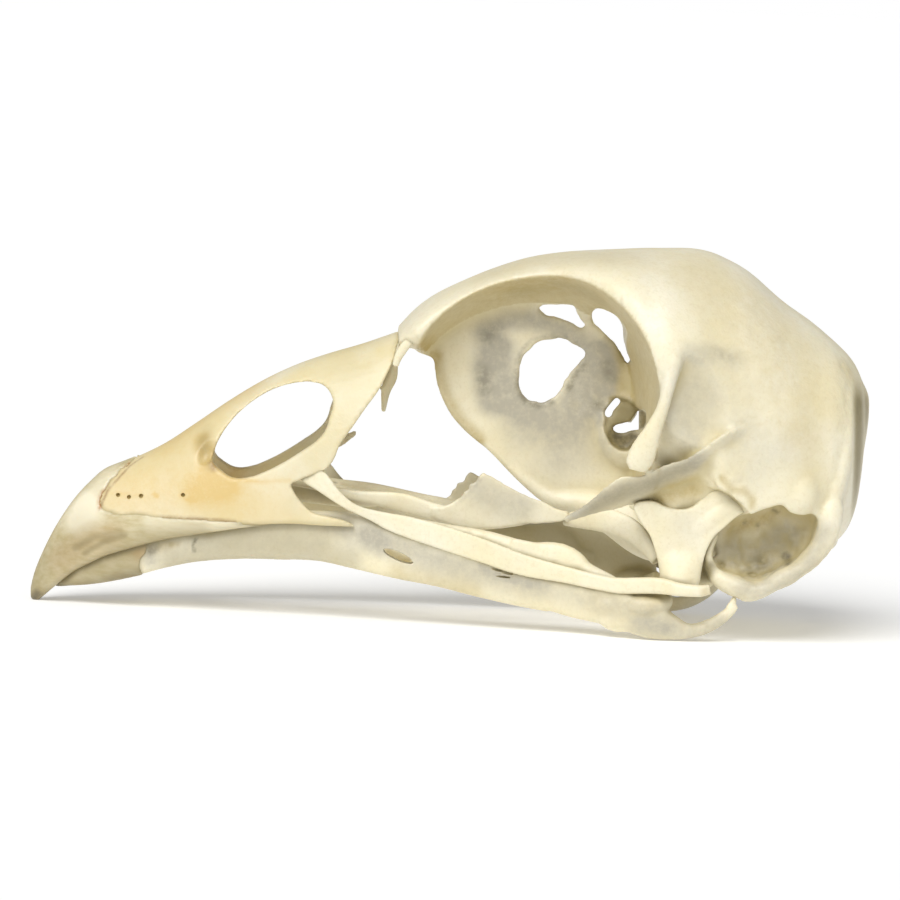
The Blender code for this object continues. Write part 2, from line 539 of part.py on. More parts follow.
def jugal(name, side):
    """The thin cheek bar under the eye."""
    return sweep(name, side, [
        (34.4, 10.0, 15.8, 0.6, 0.9), (36.2, 10.4, 14.7, 0.6, 1.1), (38.6, 10.9, 13.1, 0.6, 0.9),
        (41.5, 11.4, 11.4, 0.6, 0.85), (45.0, 11.8, 10.2, 0.6, 0.9), (50.0, 12.3, 8.6, 0.6, 0.95),
        (55.0, 12.9, 7.6, 0.6, 0.95), (60.0, 13.5, 6.6, 0.6, 0.95), (64.0, 14.2, 5.5, 0.65, 0.95),
        (68.0, 15.1, 4.1, 0.65, 0.95), (72.0, 16.0, 3.6, 0.7, 0.95), (76.5, 16.9, 3.9, 0.7, 0.8),
        (80.4, 17.3, 3.2, 0.7, 0.95), (82.2, 17.4, 3.0, 0.5, 0.5)], sides=6, steps=2)


def palatine(name, side):
    """The palate strip, a thin leaf standing on edge that rises in its rear half."""
    return sweep(name, side, [
        (33.0, 4.2, 13.2, 0.5, 0.4), (39.7, 4.8, 13.2, 0.5, 0.6), (43.0, 4.9, 12.7, 0.5, 1.0),
        (46.0, 5.0, 12.1, 0.5, 1.2), (50.0, 5.3, 11.4, 0.45, 1.2), (52.4, 5.5, 11.6, 0.4, 1.8),
        (54.6, 5.6, 12.6, 0.35, 3.4), (57.5, 5.4, 12.2, 0.35, 2.9), (60.0, 5.1, 11.7, 0.4, 2.0),
        (62.6, 4.5, 11.1, 0.5, 1.0), (65.0, 4.0, 10.2, 0.5, 0.5)], sides=8, steps=2, power=2.6)


def pterygoid(name, side):
    """The strut from the palate out to the quadrate."""
    return sweep(name, side, [
        (65.6, 4.1, 9.9, 0.5, 0.5), (68.0, 5.5, 9.9, 0.5, 1.0), (70.8, 7.2, 10.2, 0.55, 1.6),
        (73.3, 9.0, 9.5, 0.55, 1.7), (75.0, 10.3, 7.8, 0.6, 1.3), (76.2, 11.4, 6.0, 0.7, 0.9)],
        sides=8, steps=2)


def quadrate(name, side):
    """The forked bone that carries the jaw joint."""
    ear_prong = sweep(name, side, [
        (87.2, 13.0, 14.6, 0.9, 0.9), (85.4, 13.2, 13.7, 1.0, 1.3), (83.4, 13.4, 12.2, 1.0, 1.7),
        (81.0, 13.6, 10.4, 1.0, 2.2), (79.6, 13.8, 9.0, 0.9, 2.0)])
    body = sweep(name + "_body", side, [
        (79.9, 13.2, 13.4, 0.6, 3.4), (79.6, 13.2, 12.4, 0.7, 4.4), (79.3, 13.2, 11.0, 0.8, 4.6),
        (79.0, 13.6, 9.0, 0.9, 3.8), (78.7, 14.2, 7.0, 1.2, 3.1), (78.5, 14.6, 5.0, 1.7, 2.7),
        (78.5, 14.7, 3.7, 1.9, 2.5), (78.5, 14.7, 3.0, 1.6, 1.9)], up=(1, 0, 0))
    eye_prong = sweep(name + "_prong", side, [
        (79.0, 13.4, 10.8, 0.7, 2.6), (76.6, 12.0, 11.6, 0.6, 2.1), (74.6, 9.9, 11.9, 0.5, 1.1),
        (73.2, 8.4, 12.2, 0.4, 0.5)])
    return grow([ear_prong, body, eye_prong], 0.25, 280)


def lacrimal(name, side, drop):
    """The tear bone at the front corner of the eye, with a spur that hangs down by the drop."""
    plain = [(46.6, 7.6, 32.6, 0.7, 0.9), (45.6, 7.5, 31.5, 0.7, 1.1), (44.9, 7.4, 30.4, 0.6, 0.9),
             (44.5, 7.3, 29.4, 0.4, 0.7)]
    spur = [(44.0, 7.2, 27.2, 0.4, 0.6), (43.4, 7.1, 25.2, 0.35, 0.45), (43.0, 7.0, 29.4 - drop, 0.3, 0.25)]
    return sweep(name, side, plain + (spur if drop else []), sides=8, steps=2, up=(1, 0, 0))


# ---------------------------------------------------------------- the skull

def main():
    forehead, septum, braincase = split_cranium(make_cranium())
    horn, premaxilla, bridge, nasal_left, maxilla_left, nasal_right, maxilla_right = split_bill(make_bill())
    lower_horn, mandible = make_jaw()
    cheeks = both(jugal, "jugal")
    palate = both(palatine, "palatine")
    struts = both(pterygoid, "pterygoid")
    quadrates = both(quadrate, "quadrate")
    tear_bones = [lacrimal("lacrimal_left", LEFT, 0), lacrimal("lacrimal_right", RIGHT, 6.7)]
    for body in (maxilla_left, maxilla_right, horn, premaxilla):
        clear_of(body, mandible, lower_horn)
    for index, (nasal, maxilla) in enumerate(((nasal_left, maxilla_left), (nasal_right, maxilla_right))):
        clear_of(quadrates[index], braincase, mandible)
        clear_of(struts[index], quadrates[index], braincase, septum)
        clear_of(palate[index], maxilla, septum, premaxilla, struts[index])
        clear_of(cheeks[index], maxilla, quadrates[index], mandible)
        clear_of(tear_bones[index], forehead, nasal)
    bones = {BONE: [forehead, braincase, mandible, *cheeks, *palate, *struts, *quadrates, *tear_bones],
             BILL_BONE: [premaxilla, bridge, nasal_left, nasal_right, maxilla_left, maxilla_right],
             THIN_BONE: [septum], HORN: [horn, lower_horn]}
    carrier = bpy.data.objects.new("skull_rest", None)
    skull.objects.link(carrier)
    carrier.rotation_euler.y = -math.radians(REST_TILT)
    everything = []
    for finish, bodies in bones.items():
        for body in bodies:
            paint(body, finish)
            workshop.objects.unlink(body)
            skull.objects.link(body)
            body.parent = carrier
            everything.append(body)
    turn = Matrix.Rotation(-math.radians(REST_TILT), 3, "Y")
    spots = np.array([turn @ vert.co for body in everything for vert in body.data.vertices])
    low, high = spots.min(axis=0), spots.max(axis=0)
    carrier.location = (-(low[0] + high[0]) / 2, -(low[1] + high[1]) / 2, -low[2])


for old in list(bpy.data.objects):
    bpy.data.objects.remove(old)
skull = bpy.data.collections.new("turkey_skull")
bpy.context.scene.collection.children.link(skull)
workshop = bpy.data.collections.new("cutters")
bpy.context.scene.collection.children.link(workshop)
main()
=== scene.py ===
import math

import bmesh
import bpy
import numpy as np
from mathutils import Matrix, Vector, noise
from mathutils.bvhtree import BVHTree


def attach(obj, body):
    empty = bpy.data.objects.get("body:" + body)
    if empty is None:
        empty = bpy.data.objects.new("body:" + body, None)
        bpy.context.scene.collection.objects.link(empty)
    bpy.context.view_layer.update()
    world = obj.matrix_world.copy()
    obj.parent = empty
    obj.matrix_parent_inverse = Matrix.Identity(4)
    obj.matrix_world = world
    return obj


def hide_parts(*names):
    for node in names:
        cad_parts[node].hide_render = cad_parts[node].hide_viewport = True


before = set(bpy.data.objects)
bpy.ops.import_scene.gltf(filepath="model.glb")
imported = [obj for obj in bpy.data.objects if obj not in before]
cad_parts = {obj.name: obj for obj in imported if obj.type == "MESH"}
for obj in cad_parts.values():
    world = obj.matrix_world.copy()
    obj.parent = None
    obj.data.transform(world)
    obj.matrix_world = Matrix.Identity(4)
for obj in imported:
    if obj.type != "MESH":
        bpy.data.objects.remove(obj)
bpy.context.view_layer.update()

# The skull is modelled in millimetres in its own side view: x runs back from the bill tip, y to the
# bird's right, away from the camera, and z up. At the end it is tipped to stand on the floor.
mm = 0.001
left, right = -1, 1
nearOnly, both = (left,), (left, right)
rest = {"tilt": 2.6, "shift": (-50.5956, 0.0337, -0.0843)}
photo = {"size": 900, "lens": 210.8, "sensor": 36.0, "away": 650.0, "turn": -1.0, "rise": 5.0,
         "target": (51.17, 0.0, 18.5)}
noise.seed_set(3)  # the broken edges come out the same each run
toFloor = (Matrix.Translation(Vector(rest["shift"]) * mm)
           @ Matrix.Rotation(-math.radians(rest["tilt"]), 4, "Y"))
turn, rise = math.radians(photo["turn"]), math.radians(photo["rise"])
backward = Vector((math.sin(turn) * math.cos(rise), -math.cos(turn) * math.cos(rise), math.sin(rise)))
across = Vector((math.cos(turn), math.sin(turn), 0))
upward = backward.cross(across)
eye = Vector(photo["target"]) + backward * photo["away"]


def rayThrough(px, py):  # from the camera through a pixel of the picture
    reach = photo["sensor"] / photo["size"] / photo["lens"]
    half = photo["size"] / 2
    return (across * ((px - half) * reach) + upward * ((half - py) * reach) - backward).normalized()


# Shaping tools

def easedRows(rows, steps):  # a smooth curve through the rows
    rows = np.array(rows, float)
    run = np.vstack([2 * rows[0] - rows[1], rows, 2 * rows[-1] - rows[-2]])
    out = []
    for a, b, c, d in zip(run, run[1:], run[2:], run[3:]):
        for t in np.arange(steps) / steps:
            bend = (2 * a - 5 * b + 4 * c - d) * t ** 2 + (3 * b - a - 3 * c + d) * t ** 3
            out.append(b + 0.5 * ((c - a) * t + bend))
    out.append(rows[-1])
    return np.array(out)


def place(name, data):
    placed = bpy.data.objects.new(name, data)
    bpy.context.scene.collection.objects.link(placed)
    return placed


def keepMesh(name, bm):
    bmesh.ops.recalc_face_normals(bm, faces=bm.faces)
    mesh = bpy.data.meshes.new(name)
    bm.to_mesh(mesh)
    bm.free()
    return place(name, mesh)


def ringLoft(name, rings):  # a skin over rings of equally many corners, closed at both ends
    bm = bmesh.new()
    before = []
    for ring in rings:
        verts = bmesh.ops.create_circle(bm, segments=len(ring), radius=1)["verts"]
        edges = list(dict.fromkeys(edge for vert in verts for edge in vert.link_edges))
        for vert, corner in zip(verts, ring):
            vert.co = Vector(corner)
        if before:
            bmesh.ops.bridge_loops(bm, edges=before + edges)
        before = edges
    bmesh.ops.holes_fill(bm, edges=bm.edges, sides=0)
    return keepMesh(name, bm)


def roundSteps(sides):
    angles = [2 * math.pi * (step + 0.5) / sides for step in range(sides)]
    return [(math.cos(angle), math.sin(angle)) for angle in angles]


def squareOff(value, power):  # power 2 keeps a ring round, more makes it squarer
    return math.copysign(abs(value) ** (2 / power), value)


# Row: x, lowest z, widest z, top z, half width, squareness below, squareness above
def hullLoft(name, rows, sides=56, steps=5):
    rings = []
    for x, low, wide, top, half, powerLow, powerTop in easedRows(rows, steps):
        ring = []
        for c, s in roundSteps(sides):
            power, reach = (powerTop, top - wide) if s > 0 else (powerLow, wide - low)
            ring.append((x, half * squareOff(c, power), wide + reach * squareOff(s, power)))
        rings.append(ring)
    return ringLoft(name, rings)


# Row: x, distance out, z, half width, half height
def barLoft(name, side, rows, sides=16, steps=5, power=2.0, up=(0, 0, 1)):
    rows = easedRows(rows, steps)
    path = rows[:, :3] * (1, side, 1)
    rings = []
    for centre, run, (wide, high) in zip(path, np.gradient(path, axis=0), rows[:, 3:5]):
        run = Vector(run).normalized()
        aside = Vector(up).cross(run).normalized()
        over = run.cross(aside)
        rings.append([Vector(centre) + aside * (squareOff(c, power) * wide)
                      + over * (squareOff(s, power) * high) for c, s in roundSteps(sides)])
    return ringLoft(name, rings)


weld = 0.01  # mm; corners closer than this are one


def slab(name, outline, near, far, smooth=True):  # a flat plate with an (x, z) outline
    curve = bpy.data.curves.new(name, "CURVE")
    curve.dimensions = "2D"
    curve.fill_mode = "BOTH"
    curve.extrude = abs(far - near) / 2
    curve.resolution_u = 8 if smooth else 1
    spline = curve.splines.new("BEZIER")
    spline.bezier_points.add(len(outline) - 1)
    for point, (x, z) in zip(spline.bezier_points, outline):
        point.co = (x, z, 0)
        point.handle_left_type = point.handle_right_type = "AUTO" if smooth else "VECTOR"
    spline.use_cyclic_u = True
    drawn = place(name + "Drawn", curve)
    bpy.context.view_layer.update()
    mesh = bpy.data.meshes.new_from_object(drawn.evaluated_get(bpy.context.evaluated_depsgraph_get()))
    bpy.data.objects.remove(drawn)
    bm = bmesh.new()
    bm.from_mesh(mesh)
    bmesh.ops.remove_doubles(bm, verts=bm.verts, dist=weld)
    stand = Matrix.Translation((0, (near + far) / 2, 0)) @ Matrix.Rotation(math.pi / 2, 4, "X")
    bmesh.ops.transform(bm, matrix=stand, verts=bm.verts)
    return keepMesh(name, bm)


def ragged(outline, reach, gap, seed, wave=1.3):  # an outline with the uneven edge of broken thin bone
    ring = easedRows(list(outline) + [outline[0]], 6)
    along = np.concatenate([[0], np.cumsum(np.hypot(*np.diff(ring, axis=0).T))])
    marks = np.arange(0, along[-1] - gap / 2, gap)
    out = []
    for x, z in zip(np.interp(marks, along, ring[:, 0]), np.interp(marks, along, ring[:, 1])):
        shake = noise.noise_vector(Vector((x * wave, z * wave, seed)))
        out.append((x + reach * shake.x, z + reach * shake.z))
    return out


def ball(name, centre, radii, lean=0.0, segments=40):
    bm = bmesh.new()
    stretch = (Matrix.Translation(Vector(centre)) @ Matrix.Rotation(math.radians(lean), 4, "Y")
               @ Matrix.Diagonal((*radii, 1)))
    bmesh.ops.create_uvsphere(bm, u_segments=segments, v_segments=segments // 2, radius=1, matrix=stretch)
    return keepMesh(name, bm)


def sideBall(name, side, centre, radii, lean=0.0, segments=40):  # centre: x, distance out, z
    x, out, z = centre
    return ball(f"{name}{side}", (x, side * out, z), radii, lean, segments)


def pair(make, name, *details, **more):
    return [make(f"{name}{side}", side, *details, **more) for side in both]


def freeze(piece):  # the mesh that the modifiers give becomes the piece's own
    bpy.context.view_layer.update()
    solved = piece.evaluated_get(bpy.context.evaluated_depsgraph_get())
    mesh = bpy.data.meshes.new_from_object(solved)
    piece.modifiers.clear()
    piece.data = mesh


nudges = (0.013, -0.029, 0.041)  # a cut that comes out empty is made again, a hair aside
leastLeft = 0.05  # share of the faces that any sound cut leaves


def carve(body, operation, tools):
    for tool in tools:
        before = body.data.copy()
        for nudge in nudges:
            step = body.modifiers.new(tool.name, "BOOLEAN")
            step.operation = operation
            step.object = tool
            step.solver = "EXACT"
            freeze(body)
            if len(body.data.polygons) > leastLeft * len(before.polygons):
                break
            print("cut again", body.name, tool.name)
            body.data = before.copy()
            tool.data.transform(Matrix.Translation((nudge, nudge / 2, nudge)))
        bpy.data.objects.remove(tool)
    return body


def growBone(name, bodies, voxel, rounds):  # fuses overlapping bodies into one smooth bone
    bm = bmesh.new()
    for body in bodies:
        bm.from_mesh(body.data)
    for body in bodies[1:]:
        bpy.data.objects.remove(body)
    bone = bodies[0]
    bone.name = name
    mesh = bpy.data.meshes.new(name)
    bm.to_mesh(mesh)
    bm.free()
    bone.data = mesh
    fuse = bone.modifiers.new("fuse", "REMESH")
    fuse.mode = "VOXEL"
    fuse.voxel_size = voxel
    soften = bone.modifiers.new("soften", "SMOOTH")
    soften.factor = 0.5
    soften.iterations = rounds
    freeze(bone)
    return bone


def triples(items, kind):
    values = np.empty(len(items) * 3, np.float32)
    items.foreach_get(kind, values)
    return values.reshape(-1, 3).astype(float)


def cornersOf(piece):
    return triples(piece.data.vertices, "co")


def normalsOf(piece):
    return triples(piece.data.vertex_normals, "vector")


def moveCorners(piece, spots):
    piece.data.vertices.foreach_set("co", spots.astype(np.float32).ravel())
    piece.data.update()


def touch(spots, line, radius):  # a soft brush, 1 on the line of points and 0 from the radius on
    line = np.array(line, float)
    best = np.linalg.norm(spots - line[0], axis=1)
    for a, b in zip(line, line[1:]):
        run = b - a
        t = np.clip((spots - a) @ run / max(run @ run, 1e-9), 0, 1)
        best = np.minimum(best, np.linalg.norm(spots - a - t[:, None] * run, axis=1))
    fade = np.clip(1 - (best / radius) ** 2, 0, 1)
    return fade * fade


def grainOf(spots, size, seed):  # smooth noise, about -1 to 1
    return np.array([noise.noise(Vector((x / size + seed, y / size, z / size))) for x, y, z in spots])


def skinOf(piece):
    mesh = piece.data
    return BVHTree.FromPolygons([v.co for v in mesh.vertices], [p.vertices for p in mesh.polygons])


def seenOn(skin, pixels):  # where the camera sees these pixels of the picture on a piece
    found = [skin.ray_cast(eye, rayThrough(px, py))[0] for px, py in pixels]
    return [tuple(spot) for spot in found if spot is not None]


# Stroke: amount, radius in mm, pixels that the brush passes, and the sides if not both
def strokesOn(piece, strokes):
    skin, spots = skinOf(piece), cornersOf(piece)
    total = np.zeros(len(spots))
    for amount, radius, pixels, *sides in strokes:
        line = np.array(seenOn(skin, pixels))
        if not len(line):
            print("no surface under the stroke", piece.name, pixels[0])
            continue
        for side in sides[0] if sides else both:
            total += amount * touch(spots, line * (1, -side, 1), radius)
    return total


grain = {"seeds": (3.7, 8.1), "finer": 0.5, "least": 0.01}


def roughen(piece, rough):  # rough: height, size and radius in mm, pixels that the brush passes
    coarse, fine = grain["seeds"]
    half = grain["finer"]  # the second noise has half the size and half the height
    spots = cornersOf(piece)
    push = np.zeros(len(spots))
    for height, size, radius, pixels in rough:
        area = np.clip(strokesOn(piece, [(1.0, radius, pixels)]), 0, 1)
        under = area > grain["least"]
        bumps = np.zeros(len(spots))
        bumps[under] = (grainOf(spots[under], size, coarse)
                        + half * grainOf(spots[under], size * half, fine))
        push += height * area * bumps
    moveCorners(piece, spots + normalsOf(piece) * push[:, None])


def linksOf(piece):  # both ends of every edge
    ends = np.empty(len(piece.data.edges) * 2, np.int32)
    piece.data.edges.foreach_get("vertices", ends)
    return ends.reshape(-1, 2).T


def hollowness(piece, rounds):  # how far each spot lies in a hollow, in mm; edges are below 0
    spots, normals = cornersOf(piece), normalsOf(piece)
    a, b = linksOf(piece)
    size = len(spots)
    count = np.maximum(np.bincount(a, minlength=size) + np.bincount(b, minlength=size), 1)
    soft = spots.copy()
    for step in range(rounds):
        soft = np.stack([np.bincount(a, soft[b, k], size) + np.bincount(b, soft[a, k], size)
                         for k in range(3)], axis=1) / count[:, None]
    return ((soft - spots) * normals).sum(axis=1)


# Painted shade: the colour darkens where rays from a spot soon meet the skull
shade = {"reach": 9.0, "rays": 24, "steepest": 0.96, "lift": 0.08, "grazing": 0.2, "every": 3, "spread": 10,
         "from": 0.16, "range": 0.5,  # shut in less than "from" gets no painted shade
         "thinBone": (1.0, 70.2, 0.3),  # the septum: distance out, rear x, share of the painted shade that stays
         "cheekPit": ((11.3, 75.0, 84.5, 12.4, 21.0), 0.5)}


def rayShade(pieces):  # painted shade: rays say how shut in each spot lies, 0 in the open and near 1 far inside
    corners, faces = [], []
    for piece in pieces.values():
        start = len(corners)
        corners += [corner.co for corner in piece.data.vertices]
        faces += [[start + i for i in face.vertices] for face in piece.data.polygons]
    tree = BVHTree.FromPolygons(corners, faces)
    goldenTurn = math.pi * (3 - math.sqrt(5))
    heights = np.linspace(-shade["steepest"], shade["steepest"], shade["rays"])
    turns = [(h, n * goldenTurn) for n, h in enumerate(heights)]
    rays = [Vector((math.cos(t) * math.sqrt(1 - h * h), math.sin(t) * math.sqrt(1 - h * h), h))
            for h, t in turns]
    out = {}
    for word, piece in pieces.items():
        spots, normals = cornersOf(piece), normalsOf(piece)
        size = len(spots)
        value, known = np.zeros(size), np.zeros(size)
        for n in range(0, size, shade["every"]):
            normal = Vector(normals[n])
            start = Vector(spots[n]) + normal * shade["lift"]
            clear, blocked = 1e-6, 0.0
            for ray in rays:
                lean = ray.dot(normal)
                if lean > shade["grazing"]:
                    away = tree.ray_cast(start, ray, shade["reach"])[3]
                    clear += lean
                    blocked += lean * (1 - away / shade["reach"]) if away is not None else 0
            value[n], known[n] = blocked / clear, 1
        a, b = linksOf(piece)
        for step in range(shade["spread"]):  # the spots between take their neighbours' mean
            total = value * known + np.bincount(a, (value * known)[b], size)
            total += np.bincount(b, (value * known)[a], size)
            share = known + np.bincount(a, known[b], size) + np.bincount(b, known[a], size)
            value, known = total / np.maximum(share, 1e-6), (share > 0).astype(float)
        out[word] = value
    return out


def setMask(piece, name, values):
    layer = piece.data.attributes.new(name, "FLOAT", "POINT")
    layer.data.foreach_set("value", np.clip(values, -1, 1).astype(np.float32))


# Cranium

